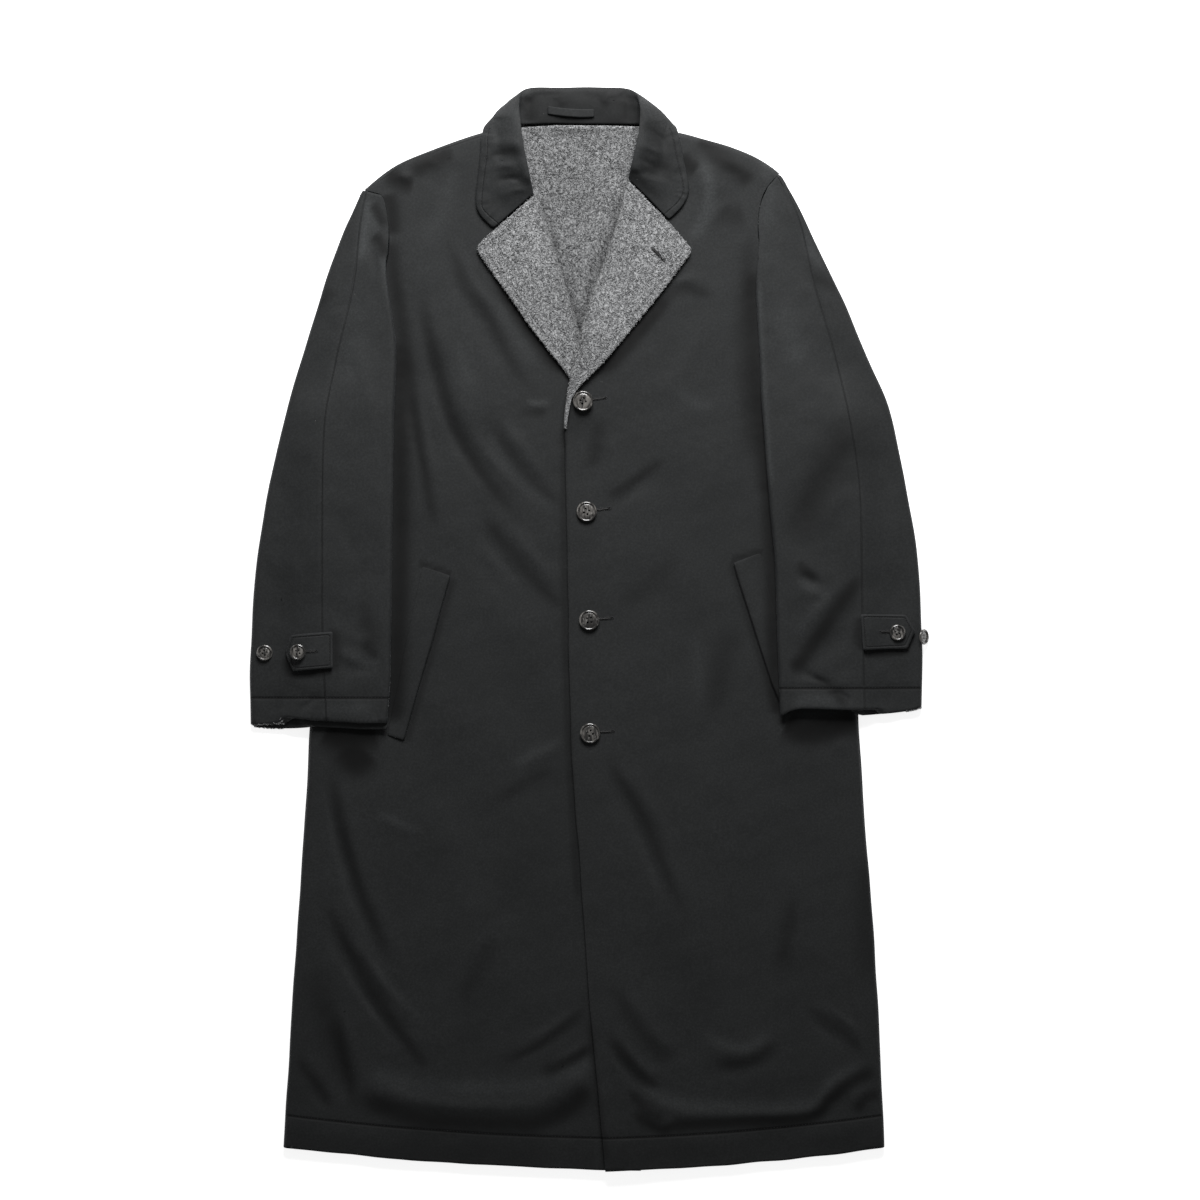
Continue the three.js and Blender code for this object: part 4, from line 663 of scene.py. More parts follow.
def applyRelief(mesh, relief):
    co = coordinates(mesh)
    x, y = patternXY(co)
    floor = np.minimum(co[:, 2], 0.1 * mm)
    co[:, 0] += mm * 0.5 * softNoise(x, y, 70, 31)
    co[:, 1] += mm * 0.5 * softNoise(x, y, 60, 32)
    co[:, 2] = np.maximum(co[:, 2] + mm * relief(x, y), floor)
    mesh.vertices.foreach_set("co", co.ravel())
    mesh.update()


def writeDistance(mesh, name, values):
    attribute = mesh.attributes.new(name, "FLOAT", "POINT")
    attribute.data.foreach_set("value", np.clip(values, -60, 60).astype(np.float32))


# the painted shade and highlights, kept on the mesh as its tone attribute
def writePaintedLight(mesh, paintedStrokes, amount=1.0):
    writeDistance(mesh, "tone", amount * paintedLightOf(*patternXY(coordinates(mesh)), paintedStrokes))


def writeLines(mesh, edge=None, band=None, seam=None):
    # distances in mm to a stitched edge, to a turned-up band and to a seam, for the finishes
    for name, values in (("edgeDistance", edge), ("bandDistance", band), ("seamDistance", seam)):
        writeDistance(mesh, name, np.full(len(mesh.vertices), 60.0) if values is None else values)


def paintSides(mesh, outside, inside, isInside):
    # the outside finish everywhere, and the wool on faces that look inwards
    mesh.materials.clear()
    mesh.materials.append(outside)
    mesh.materials.append(inside)
    mesh.polygons.foreach_set("use_smooth", [True] * len(mesh.polygons))
    for polygon in mesh.polygons:
        polygon.material_index = 1 if isInside(polygon) else 0


def shellTree(mesh):
    return BVHTree.FromPolygons([v.co for v in mesh.vertices], [p.vertices[:] for p in mesh.polygons])


def seated(tree, x, y, lift=0.0):
    # the point of a shell's top at a place of the pattern, and its normal there
    start = Vector(((x + patternShift[0]) * mm, (y + patternShift[1]) * mm, 0.08))
    hit, normal, _, _ = tree.ray_cast(start, Vector((0, 0, -1)))
    if hit is None:
        return None, None
    return hit + normal * lift * mm, normal


# Finishes. A group holds what several of them share.

def newGroup(name, inputs, outputs):
    group = bpy.data.node_groups.new(name, "ShaderNodeTree")
    for label, kind, value in inputs:
        socket = group.interface.new_socket(label, in_out="INPUT", socket_type=kind)
        if value is not None:
            socket.default_value = value
    for label in outputs:
        group.interface.new_socket(label, in_out="OUTPUT", socket_type="NodeSocketFloat")
    return group, group.nodes.new("NodeGroupInput"), group.nodes.new("NodeGroupOutput")


def addNode(tree, kind, values=None, **settings):
    node = tree.nodes.new(kind)
    for key, value in settings.items():
        setattr(node, key, value)
    for key, value in (values or {}).items():
        if isinstance(value, bpy.types.NodeSocket):
            tree.links.new(value, node.inputs[key])
        else:
            node.inputs[key].default_value = value
    return node


def calc(tree, operation, first, second=0.0, third=0.0):
    return addNode(tree, "ShaderNodeMath", {0: first, 1: second, 2: third}, operation=operation).outputs[0]


def eased(tree, value, low, high, start=0.0, end=1.0):
    values = {"Value": value, "From Min": low, "From Max": high, "To Min": start, "To Max": end}
    return addNode(tree, "ShaderNodeMapRange", values, interpolation_type="SMOOTHSTEP").outputs[0]


def noiseOf(tree, vector, scale, detail=2.0, distortion=0.0):
    values = {"Vector": vector, "Scale": scale, "Detail": detail, "Distortion": distortion}
    return addNode(tree, "ShaderNodeTexNoise", values).outputs["Fac"]


def twillGroup():
    # steep diagonal ribs of a fine twill, with uneven yarns
    group, start, end = newGroup(
        "twillRibs",
        [("Vector", "NodeSocketVector", None), ("Ribs", "NodeSocketFloat", 330.0),
         ("Yarn", "NodeSocketFloat", 1900.0)],
        ["Height", "Tone"])
    turned = addNode(group, "ShaderNodeMapping",
                     {"Vector": start.outputs["Vector"], "Rotation": (0, 0, math.radians(27))})
    ribs = addNode(group, "ShaderNodeTexWave",
                   {"Vector": turned.outputs[0], "Scale": start.outputs["Ribs"], "Distortion": 1.2,
                    "Detail": 1.0},
                   wave_type="BANDS", bands_direction="X").outputs["Fac"]
    yarn = noiseOf(group, start.outputs["Vector"], start.outputs["Yarn"], 1.0)
    group.links.new(calc(group, "MULTIPLY_ADD", ribs, 0.55, calc(group, "MULTIPLY", yarn, 0.45)),
                    end.inputs["Height"])
    slub = noiseOf(group, start.outputs["Vector"], 420.0, 3.0)
    group.links.new(calc(group, "MULTIPLY_ADD", slub, 0.6, calc(group, "MULTIPLY", yarn, 0.4)),
                    end.inputs["Tone"])
    return group


def mottleGroup():
    # slow unevenness of handled cloth
    group, start, end = newGroup(
        "clothUnevenness", [("Vector", "NodeSocketVector", None),
                            ("Broad", "NodeSocketFloat", 9.0)], ["Value"])
    broad = noiseOf(group, start.outputs["Vector"], start.outputs["Broad"], 3.0)
    close = noiseOf(group, start.outputs["Vector"], 85.0, 3.0)
    group.links.new(calc(group, "MULTIPLY_ADD", broad, 0.6, calc(group, "MULTIPLY", close, 0.4)),
                    end.inputs["Value"])
    return group


def stitchLineGroup():
    # a sewn line beside an edge draws the cloth in, and the edge itself is rubbed
    group, start, end = newGroup(
        "sewnLine",
        [("Distance", "NodeSocketFloat", 99.0), ("Inset", "NodeSocketFloat", 7.0),
         ("Width", "NodeSocketFloat", 1.3)],
        ["Groove", "Band", "Rub"])
    off = calc(group, "SUBTRACT", start.outputs["Distance"], start.outputs["Inset"])
    share = calc(group, "DIVIDE", calc(group, "ABSOLUTE", off), start.outputs["Width"])
    group.links.new(eased(group, share, 0.0, 1.0, 1.0, 0.0), end.inputs["Groove"])
    group.links.new(eased(group, off, -1.4, 1.4, 1.0, 0.0), end.inputs["Band"])
    group.links.new(eased(group, start.outputs["Distance"], 0.0, 2.6, 1.0, 0.0), end.inputs["Rub"])
    return group


def loopGroup():
    # curled wool: worm-like tufts of uneven shade
    group, start, end = newGroup(
        "woolTufts", [("Vector", "NodeSocketVector", None),
                      ("Tufts", "NodeSocketFloat", 260.0)], ["Height", "Fleck"])
    curl = noiseOf(group, start.outputs["Vector"], start.outputs["Tufts"], 2.0, 1.6)
    worm = calc(group, "MULTIPLY", calc(group, "ABSOLUTE", calc(group, "SUBTRACT", curl, 0.5)), 6.0)
    hair = noiseOf(group, start.outputs["Vector"], 1400.0, 2.0, 0.6)
    group.links.new(calc(group, "SUBTRACT", 1.0,
                         calc(group, "MULTIPLY_ADD", worm, 0.8, calc(group, "MULTIPLY", hair, -0.35))),
                    end.inputs["Height"])
    shade = noiseOf(group, start.outputs["Vector"], 330.0, 3.0, 0.9)
    group.links.new(calc(group, "MULTIPLY_ADD", shade, 0.62,
                         calc(group, "MULTIPLY_ADD", worm, -0.25, calc(group, "MULTIPLY", hair, 0.5))),
                    end.inputs["Fleck"])
    return group


def lintGroup():
    # a few pale fibres caught on the cloth
    group, start, end = newGroup("lint",
                                 [("Vector", "NodeSocketVector", None),
                                  ("Grains", "NodeSocketFloat", 55.0)], ["Mask"])
    cells = addNode(group, "ShaderNodeTexVoronoi",
                    {"Vector": start.outputs["Vector"], "Scale": start.outputs["Grains"]})
    spot = eased(group, cells.outputs["Distance"], 0.012, 0.03, 1.0, 0.0)
    rare = calc(group, "GREATER_THAN", noiseOf(group, start.outputs["Vector"], 37.0, 1.0), 0.64)
    group.links.new(calc(group, "MULTIPLY", spot, rare), end.inputs["Mask"])
    return group


groups = {"twill": twillGroup(), "mottle": mottleGroup(), "line": stitchLineGroup(), "tufts": loopGroup(),
          "lint": lintGroup()}


def useGroup(tree, key, values):
    node = tree.nodes.new("ShaderNodeGroup")
    node.node_tree = groups[key]
    for label, value in values.items():
        if isinstance(value, bpy.types.NodeSocket):
            tree.links.new(value, node.inputs[label])
        else:
            node.inputs[label].default_value = value
    return node.outputs


def mixColour(tree, factor, first, second, blend="MIX"):
    node = tree.nodes.new("ShaderNodeMix")
    node.data_type = "RGBA"
    node.blend_type = blend
    for index, value in ((0, factor), (6, first), (7, second)):
        if isinstance(value, bpy.types.NodeSocket):
            tree.links.new(value, node.inputs[index])
        elif index:
            node.inputs[index].default_value = (*value, 1)
        else:
            node.inputs[index].default_value = value
    return node.outputs[2]


def withPaintedLight(tree, colour):
    # the colour in the shade or the light that is written on the mesh, in stops
    stops = addNode(tree, "ShaderNodeAttribute", attribute_name="tone").outputs["Fac"]
    factor = calc(tree, "POWER", 2.0, stops)
    return addNode(tree, "ShaderNodeVectorMath", {0: colour, 3: factor}, operation="SCALE").outputs[0]


def newFinish(name, shader):
    # a material with its Principled BSDF set from plain values
    material = bpy.data.materials.new(name)
    material.use_nodes = True
    tree = material.node_tree
    surface = tree.nodes["Principled BSDF"]
    for label, value in shader.items():
        surface.inputs[label].default_value = value
    place = tree.nodes.new("ShaderNodeTexCoord").outputs["Object"]
    return material, tree, surface, place


def setBump(tree, surface, height, strength=1.0):
    # heights are in mm
    bump = addNode(tree, "ShaderNodeBump", {"Height": height, "Distance": mm, "Strength": strength})
    tree.links.new(bump.outputs[0], surface.inputs["Normal"])


gabardineLook = {
    "dark": (0.0135, 0.0145, 0.0148),
    "light": (0.0270, 0.0285, 0.0292),
    "rubbed": (0.034, 0.035, 0.036),
    # painted shade for grooves
    "grooveShade": (0.003, 0.003, 0.003),
    "lint": (0.16, 0.16, 0.155),
    "ribs": 0.13,  # mm
    "groove": 0.5,
    "shader": {"Specular IOR Level": 0.24, "Sheen Weight": 0.05, "Sheen Roughness": 0.4,
               "Sheen Tint": (0.85, 0.9, 1.0, 1)},
}


def gabardine(name, look, edgeInset=7.0, bandInset=38.0, rubbed=0.3):
    material, tree, surface, place = newFinish(name, look["shader"])
    twill = useGroup(tree, "twill", {"Vector": place})
    mottle = useGroup(tree, "mottle", {"Vector": place})
    lint = useGroup(tree, "lint", {"Vector": place})
    lines = {}
    for label, inset, width in (("edge", edgeInset, 1.4), ("band", bandInset - 1.0, 2.6), ("seam", 0.0, 1.5)):
        distance = addNode(tree, "ShaderNodeAttribute", attribute_name=label + "Distance").outputs["Fac"]
        lines[label] = useGroup(tree, "line", {"Distance": distance, "Inset": inset, "Width": width})
    tone = calc(tree, "MULTIPLY_ADD", mottle["Value"], 0.75,
                calc(tree, "MULTIPLY_ADD", twill["Tone"], 1.5, -0.75))
    tone = calc(tree, "MULTIPLY_ADD", twill["Height"], 0.34, calc(tree, "SUBTRACT", tone, 0.17))
    colour = mixColour(tree, eased(tree, tone, 0.1, 0.85), look["dark"], look["light"])
    rub = calc(tree, "MULTIPLY", lines["edge"]["Rub"],
               eased(tree, mottle["Value"], 0.4, 0.7, 0.1 * rubbed, rubbed))
    colour = mixColour(tree, rub, colour, look["rubbed"])
    groove = calc(tree, "MAXIMUM",
                  calc(tree, "MAXIMUM", lines["edge"]["Groove"],
                       lines["band"]["Groove"]), lines["seam"]["Groove"])
    # painted shade in the grooves of stitched edges and seams, stronger along the top of the hem and cuff
    # bands
    colour = mixColour(tree, calc(tree, "MULTIPLY", groove, 0.4), colour, look["grooveShade"])
    colour = mixColour(tree, calc(tree, "MULTIPLY", lines["band"]["Groove"], 0.8), colour, look["grooveShade"])
    colour = withPaintedLight(tree, mixColour(tree, lint["Mask"], colour, look["lint"]))
    tree.links.new(colour, surface.inputs["Base Color"])
    tree.links.new(eased(tree, mottle["Value"], 0.3, 0.7, 0.66, 0.78), surface.inputs["Roughness"])
    height = calc(tree, "MULTIPLY", twill["Height"], look["ribs"])
    height = calc(tree, "MULTIPLY_ADD", groove, -look["groove"], height)
    height = calc(tree, "MULTIPLY_ADD", lines["edge"]["Band"], 0.15, height)
    setBump(tree, surface, height)
    return material


woolLook = {
    "dark": (0.045, 0.046, 0.047),
    "middle": (0.150, 0.152, 0.155),
    "light": (0.420, 0.425, 0.430),
    "tuft": 0.55,  # mm
    "shader": {"Roughness": 0.95, "Specular IOR Level": 0.12, "Sheen Weight": 0.12, "Sheen Roughness": 0.6},
}


def wool(name, look, edgeInset=8.0):
    material, tree, surface, place = newFinish(name, look["shader"])
    tufts = useGroup(tree, "tufts", {"Vector": place})
    mottle = useGroup(tree, "mottle", {"Vector": place, "Broad": 30.0})
    edge = addNode(tree, "ShaderNodeAttribute", attribute_name="edgeDistance").outputs["Fac"]
    edgeLine = useGroup(tree, "line", {"Distance": edge, "Inset": edgeInset, "Width": 1.6})
    fleck = calc(tree, "MULTIPLY_ADD", mottle["Value"], 0.18, calc(tree, "SUBTRACT", tufts["Fleck"], 0.09))
    colour = mixColour(tree, eased(tree, fleck, 0.26, 0.46), look["dark"], look["middle"])
    colour = mixColour(tree, eased(tree, fleck, 0.40, 0.66), colour, look["light"])
    # painted shade in the groove of the stitched edge, in the wool's dark colour
    colour = mixColour(tree, calc(tree, "MULTIPLY", edgeLine["Groove"], 0.35), colour, look["dark"])
    tree.links.new(withPaintedLight(tree, colour), surface.inputs["Base Color"])
    height = calc(tree, "MULTIPLY", tufts["Height"], look["tuft"])
    setBump(tree, surface, calc(tree, "MULTIPLY_ADD", edgeLine["Groove"], -0.6, height), 0.8)
    return material


tuftFinish = {
    "dark": (0.040, 0.041, 0.043),
    "light": (0.470, 0.475, 0.480),
    "shader": {"Roughness": 0.9, "Specular IOR Level": 0.15, "Sheen Weight": 0.2, "Sheen Roughness": 0.5},
}


def tuft(name, look):
    # single yarns, each of its own grey
    material, tree, surface, place = newFinish(name, look["shader"])
    shade = noiseOf(tree, place, 900.0, 1.0)
    hair = noiseOf(tree, place, 3000.0, 2.0, 0.5)
    value = calc(tree, "MULTIPLY_ADD", shade, 0.8, calc(tree, "MULTIPLY", hair, 0.2))
    colour = mixColour(tree, eased(tree, value, 0.34, 0.64), look["dark"], look["light"])
    tree.links.new(withPaintedLight(tree, colour), surface.inputs["Base Color"])
    setBump(tree, surface, calc(tree, "MULTIPLY", hair, 0.1))
    return material


hornLook = {
    "dark": (0.022, 0.021, 0.020),
    "brown": (0.165, 0.157, 0.146),
    "grey": (0.400, 0.388, 0.370),
    "shader": {"Specular IOR Level": 0.65, "Coat Weight": 0.5, "Coat Roughness": 0.14},
}


def horn(name, look):
    material, tree, surface, place = newFinish(name, look["shader"])
    stretched = addNode(tree, "ShaderNodeMapping",
                        {"Vector": place, "Scale": (1, 0.35, 1), "Rotation": (0, 0, 0.6)}).outputs[0]
    cloud = noiseOf(tree, stretched, 150.0, 4.0, 1.2)
    streak = noiseOf(tree, stretched, 520.0, 3.0, 0.5)
    colour = mixColour(tree, eased(tree, cloud, 0.42, 0.68), look["dark"], look["brown"])
    colour = mixColour(tree, eased(tree, streak, 0.56, 0.74, 0.0, 0.6), colour, look["grey"])
    tree.links.new(colour, surface.inputs["Base Color"])
    tree.links.new(eased(tree, cloud, 0.3, 0.7, 0.18, 0.30), surface.inputs["Roughness"])
    setBump(tree, surface, calc(tree, "MULTIPLY", streak, 0.02))
    return material


threadLook = {
    "dark": (0.006, 0.006, 0.007),
    "light": (0.018, 0.018, 0.020),
    "shader": {"Roughness": 0.55, "Specular IOR Level": 0.4, "Sheen Weight": 0.1},
}


def thread(name, look):
    material, tree, surface, place = newFinish(name, look["shader"])
    twist = addNode(tree, "ShaderNodeTexWave", {"Vector": place, "Scale": 900.0, "Distortion": 2.0},
                    wave_type="BANDS", bands_direction="DIAGONAL").outputs["Fac"]
    tree.links.new(mixColour(tree, twist, look["dark"], look["light"]), surface.inputs["Base Color"])
    setBump(tree, surface, calc(tree, "MULTIPLY", twist, 0.05))
    return material


finish = {
    "body": gabardine("gabardineBody", gabardineLook, 8.0, 38.0),
    "sleeve": gabardine("gabardineSleeve", gabardineLook, 8.0, 29.0),
    "collar": gabardine("gabardineCollar", gabardineLook, 7.0, 38.0),
    "trim": gabardine("gabardineTrim", gabardineLook, 3.2, 38.0),
    "wool": wool("greyWool", woolLook),
    "tuft": tuft("woolYarn", tuftFinish),
    "horn": horn("darkHorn", hornLook),
    "thread": thread("blackThread", threadLook),
    "greyThread": thread("greyThread",
                         {**threadLook, "dark": (0.04, 0.04, 0.042), "light": (0.10, 0.10, 0.104)}),
    "buttonThread": thread("buttonThread",
                           {**threadLook, "dark": (0.045, 0.044, 0.042), "light": (0.13, 0.127, 0.12)}),
    "holeThread": thread("holeThread",
                         {**threadLook, "dark": (0.006, 0.006, 0.007), "light": (0.024, 0.024, 0.026)}),
    # a near-black finish for the painted shadow inside the buttonhole slits
    "slit": thread("slitShade",
                   {**threadLook, "dark": (0.0015, 0.0015, 0.0015), "light": (0.003, 0.003, 0.003)}),
}
print("finishes made:", len(finish))


# Body panels

bodyShells = {"rimCrease": 0.8, "rounds": 2, "longest": 6.0, "backRounds": 1, "backLongest": 20.0}
shells = {}


def bodyPanel(side):
    node = "front_" + side
    mesh = smoothedShell(node, bodyShells["rimCrease"], bodyShells["rounds"], bodyShells["longest"])
    applyRelief(mesh, bodyRelief)
    x, y = patternXY(coordinates(mesh))
    shoulder = fromPath(x, y, smoothPath(bodyPattern["shoulderSeam"]))[0] if side == "right" else None
    writeLines(mesh, band=y - hemLine(x), seam=shoulder)
    writePaintedLight(mesh, bodyPaintedLight)
    paintSides(mesh, finish["body"], finish["wool"], lambda p: p.normal.z < -0.5)
    shells[node] = pieceObject(node + "_cloth", mesh, "gabardine_" + node, node)


def backPanel():
    mesh = smoothedShell("back", bodyShells["rimCrease"], bodyShells["backRounds"], bodyShells["backLongest"])
    applyRelief(mesh, backRelief)
    x, y = patternXY(coordinates(mesh))
    writeLines(mesh, band=y - hemLine(x) - 2)
    paintSides(mesh, finish["body"], finish["wool"],
               lambda p: p.normal.z > 0.5 and abs(p.center.x) < 0.19)
    shells["back"] = pieceObject("back_cloth", mesh, "gabardine_back", "back")
    lining = smoothedShell("back_wool", 0.4, 2, 6.0)
    applyRelief(lining, lambda x, y: unevenness(x, y, "lining"))
    writeLines(lining)
    writePaintedLight(lining, liningPaintedShade)
    paintSides(lining, finish["wool"], finish["wool"], lambda p: False)
    shells["back_wool"] = pieceObject("back_wool_cloth", lining, "wool_back", "back_wool")


backPanel()
bodyPanel("right")
bodyPanel("left")
print("body panels made")


# Lapels, collar and sleeves

lapelPattern = {
    "right": [(-60.2, 490.2), (-124, 435), (-125, 427), (-109, 404), (-86, 372), (-60, 335), (-31, 298),
              (-16, 279)],
    "left": [(46.8, 506.2), (117, 432), (116, 423), (97, 398), (76, 370), (51, 340), (21, 303),
             (-8.5, 274.5), (-22.4, 235)],
    "rimCrease": 0.55, "rounds": 2, "longest": 4.2, "inset": 8.0,
}
collarPattern = {
    "edge": [(-106.6, 453.4), (-121, 466.5), (-127, 479), (-125, 507), (-121, 536), (-120, 560),
             (-115, 570.5), (-100, 573)],
    "leftEdge": [(84, 573), (97, 570.5), (103, 560), (107, 540), (113, 514), (116, 494), (108, 478),
                 (91.6, 463)],
    "rimCrease": 0.4, "rounds": 2, "longest": 3.4, "inset": 7.0, "sewnTo": 566,
    "middle": -9, "standReach": 66, "low": 4, "farAway": 60.0,
}


def lapelPanel(side):
    node = "lapel_" + side
    look = lapelPattern
    mesh = smoothedShell(node, look["rimCrease"], look["rounds"], look["longest"])
    applyRelief(mesh, bodyRelief)
    x, y = patternXY(coordinates(mesh))
    writeLines(mesh, edge=fromPath(x, y, np.array(look[side], float))[0])
    writePaintedLight(mesh, woolPaintedShade, 0.5)
    paintSides(mesh, finish["wool"], finish["body"], lambda p: p.normal.z < -0.6)
    shells[node] = pieceObject(node + "_cloth", mesh, "wool_" + node, node)


def facesItself(trees, polygon, reach):
    start = polygon.center + polygon.normal * 0.3 * mm
    return any(tree.ray_cast(start, polygon.normal, reach)[0] is not None for tree in trees)


def collarPiece():
    look = collarPattern
    mesh = smoothedShell("collar", look["rimCrease"], look["rounds"], look["longest"])
    applyRelief(mesh, collarRelief)
    co = coordinates(mesh)
    x, y = patternXY(co)
    distance = np.full(len(x), look["farAway"])
    for line in (look["edge"], look["leftEdge"]):
        distance = np.minimum(distance, fromPath(x, y, smoothPath(line))[0])
    inner = (np.abs(x - look["middle"]) < look["standReach"]) | (co[:, 2] < look["low"] * mm)
    writeLines(mesh, edge=np.where(inner | (y > look["sewnTo"]), look["farAway"], distance))
    writePaintedLight(mesh, collarPaintedLight)
    tree = shellTree(mesh)
    paintSides(mesh, finish["collar"], finish["wool"], lambda p: facesItself([tree], p, 0.02))
    shells["collar"] = pieceObject("collar_cloth", mesh, "gabardine_collar", "collar")


sleeveShells = {
    "rimCrease": 0.85, "rounds": 2, "longest": 6.0, "facing": 16, "woolBelow": 400,
    "seamAbove": 7, "seamWidth": 5, "armholeLift": -0.4,
    # how the two panels meet: the front one goes over the seam, the back one under it
    "tuck": {"front": {"shift": 1.1, "lift": 0.25, "reach": 6},
             "back": {"shift": -0.7, "lift": -0.45, "reach": 5}},
}
cuffShapes = {
    # how far the hem of the upper and of the lower layer moves up the sleeve, at distances across it
    "right": {"upper": [(-381, 0), (-372, 3.5), (-362, 6.5), (-345, 7), (-320, 4.6), (-300, 2.2),
                        (-280, 0.4), (-250, -1.8), (-228, -1.6)],
              "lower": [(-381, 0), (-350, 0), (-313, 2.5), (-290, 6),
                        (-228, 7)], "lift": 2.2, "open": [(-381, 0), (-350, 1), (-310, 0.6), (-280, 0)]},
    "left": {"upper": [(220, 0), (232, 5.6), (243, 7), (262, 6.2), (302, 3.6), (340, 2.8), (366, 4),
                       (378, 6.5)],
             "lower": [(220, -0.5), (243, -2.2), (267, -4), (302, -3.6), (337, -2.2), (368, 0.6), (378, 3)],
             "lift": 2.2, "open": [(222, 0), (250, 1), (300, 0.5), (350, 0.3), (376, 0)]},
}


armholes = {
    "right": {"path": [(-256, 497), (-241, 498), (-236, 497), (-231, 489), (-229, 478), (-228, 461),
                       (-226, 445), (-227, 424)],
              "shift": (1.2, 0.7)},
    "left": {"path": [(221, 517), (206, 509), (198, 497), (195, 482), (194, 465), (194, 445), (195, 424)],
             "shift": (-1.2, 0.7)},
}


def tuckSeam(mesh, path, shift, lift, reach=6):
    # draws the edge of a piece towards a seam, over or under its neighbour
    co = coordinates(mesh)
    x, y = patternXY(co)
    near = smoothStep(reach, 0.5, fromPath(x, y, smoothPath(path))[0])
    co += mm * near[:, None] * np.array([*shift, lift])
    mesh.vertices.foreach_set("co", co.ravel())
    mesh.update()


def openCuff(side, mesh):
    # the two layers of a cuff stand a little open, each with its own hem
    look = cuffShapes[side]
    co = coordinates(mesh)
    x, y = patternXY(co)
    hem, band = bodyPattern["cuff"][side], bodyPattern["cuff"]["band"]
    share = 1 - smoothStep(hem - 2, hem + band + 6, y)
    middle = 12 * mm
    upper = smoothStep(middle - 1 * mm, middle + 1 * mm, co[:, 2])
    move = upper * curveThrough(look["upper"])(x) + (1 - upper) * curveThrough(look["lower"])(x)
    co[:, 1] += mm * share * move
    co[:, 2] += mm * look["lift"] * share * upper * curveThrough(look["open"])(x)
    mesh.vertices.foreach_set("co", co.ravel())
    mesh.update()


def nearSeam(side, polygon):
    x, y = polygon.center.x / mm - patternShift[0], polygon.center.y / mm - patternShift[1]
    aside = abs(x - float(sleeveSeam[side](y)))
    return polygon.center.z > sleeveShells["seamAbove"] * mm and aside < sleeveShells["seamWidth"]


def sleevePanels(side):
    meshes = {}
    for part in ("front", "back"):
        node = f"sleeve_{side}_{part}"
        meshes[node] = smoothedShell(node, sleeveShells["rimCrease"], sleeveShells["rounds"],
                                     sleeveShells["longest"])
        applyRelief(meshes[node], sleeveRelief(side))
        openCuff(side, meshes[node])
        seam = [(across, up) for up, across in bodyPattern["sleeveSeam"][side]]
        tuck = sleeveShells["tuck"][part]
        tuckSeam(meshes[node], seam, (outward[side] * tuck["shift"], 0), tuck["lift"], tuck["reach"])
        tuckSeam(meshes[node], armholes[side]["path"], armholes[side]["shift"], sleeveShells["armholeLift"])
    trees = [shellTree(mesh) for mesh in meshes.values()]
    for node, mesh in meshes.items():
        x, y = patternXY(coordinates(mesh))
        writeLines(mesh, band=y - bodyPattern["cuff"][side], seam=np.abs(x - sleeveSeam[side](y)))
        writePaintedLight(mesh, sleevePaintedLight[side])
        facing = bodyPattern["cuff"][side] + sleeveShells["facing"]
        paintSides(mesh, finish["sleeve"], finish["wool"],
                   lambda p: facing < p.center.y / mm - patternShift[1] < sleeveShells["woolBelow"]
                   and not nearSeam(side, p) and facesItself(trees, p, 0.03))
        shells[node] = pieceObject(node + "_cloth", mesh, "gabardine_" + node, node)


lapelPanel("right")
lapelPanel("left")
collarPiece()
sleevePanels("right")
sleevePanels("left")
print("lapels, collar and sleeves made")


# Welts, straps and the hanger loop

trimPattern = {
    "underSleeve": -62,
    "welt": {
        "right": [(-188, 70), (-155, 59), (-208, -127), (-227, -121)],
        "left": [(165, 74), (196, 85), (243, -104), (223.6, -110.3)],
    },
    "strap": {
        "right": [(-288, -4), (-336, -8), (-343, -29), (-333, -49), (-288, -45)],
        "left": [(309, 16), (361, 15), (371, -3), (362, -23), (312, -25)],
    },
    "mouth": {"right": [(-155, 59), (-208, -127)], "left": [(165, 74), (223.6, -110.3)]},
    "rimCrease": 0.5, "rounds": 2, "longest": 3.5, "inset": 3.2,
    "thinned": 0.72, "thinFrom": 4, "thinTo": 26, "footShare": 0.7,
}


def layWelt(mesh, side):
    # full thickness at the mouth of the pocket, thin where it is sewn down
    look = trimPattern["mouth"][side]
    co = coordinates(mesh)
    x, y = patternXY(co)
    away = fromPath(x, y, np.array(look, float))[0]
    keep = 1 - trimPattern["thinned"] * smoothStep(trimPattern["thinFrom"], trimPattern["thinTo"], away)
    front = BVHTree.FromPolygons([v.co for v in shells["front_" + side].data.vertices],
                                 [p.vertices[:] for p in shells["front_" + side].data.polygons])
    for i in range(len(co)):
        hit = front.ray_cast(Vector((co[i, 0], co[i, 1], 0.08)), Vector((0, 0, -1)))[0]
        if hit is not None:
            co[i, 2] = hit.z + (co[i, 2] - hit.z) * keep[i]
    if side == "left":
        # its foot ends under the sleeve
        low = (patternShift[1] + trimPattern["underSleeve"]) * mm
        co[:, 1] = np.where(co[:, 1] < low, low + (co[:, 1] - low) * trimPattern["footShare"], co[:, 1])
    mesh.vertices.foreach_set("co", co.ravel())
    mesh.update()
    return away


def trimPiece(node, outline, relief, slot):
    look = trimPattern
    mesh = smoothedShell(node, look["rimCrease"], look["rounds"], look["longest"])
    applyRelief(mesh, relief)
    x, y = patternXY(coordinates(mesh))
    if node.startswith("pocket"):
        writeLines(mesh, seam=layWelt(mesh, node.split("_")[2]))
    elif outline:
        writeLines(mesh, edge=fromPath(x, y, np.array(outline + outline[:1], float))[0])
    else:
        writeLines(mesh)
    if node.startswith("pocket"):
        writePaintedLight(mesh, bodyPaintedLight)
    paintSides(mesh, finish["trim"], finish["trim"], lambda p: False)
    shells[node] = pieceObject(node + "_cloth", mesh, slot, node)


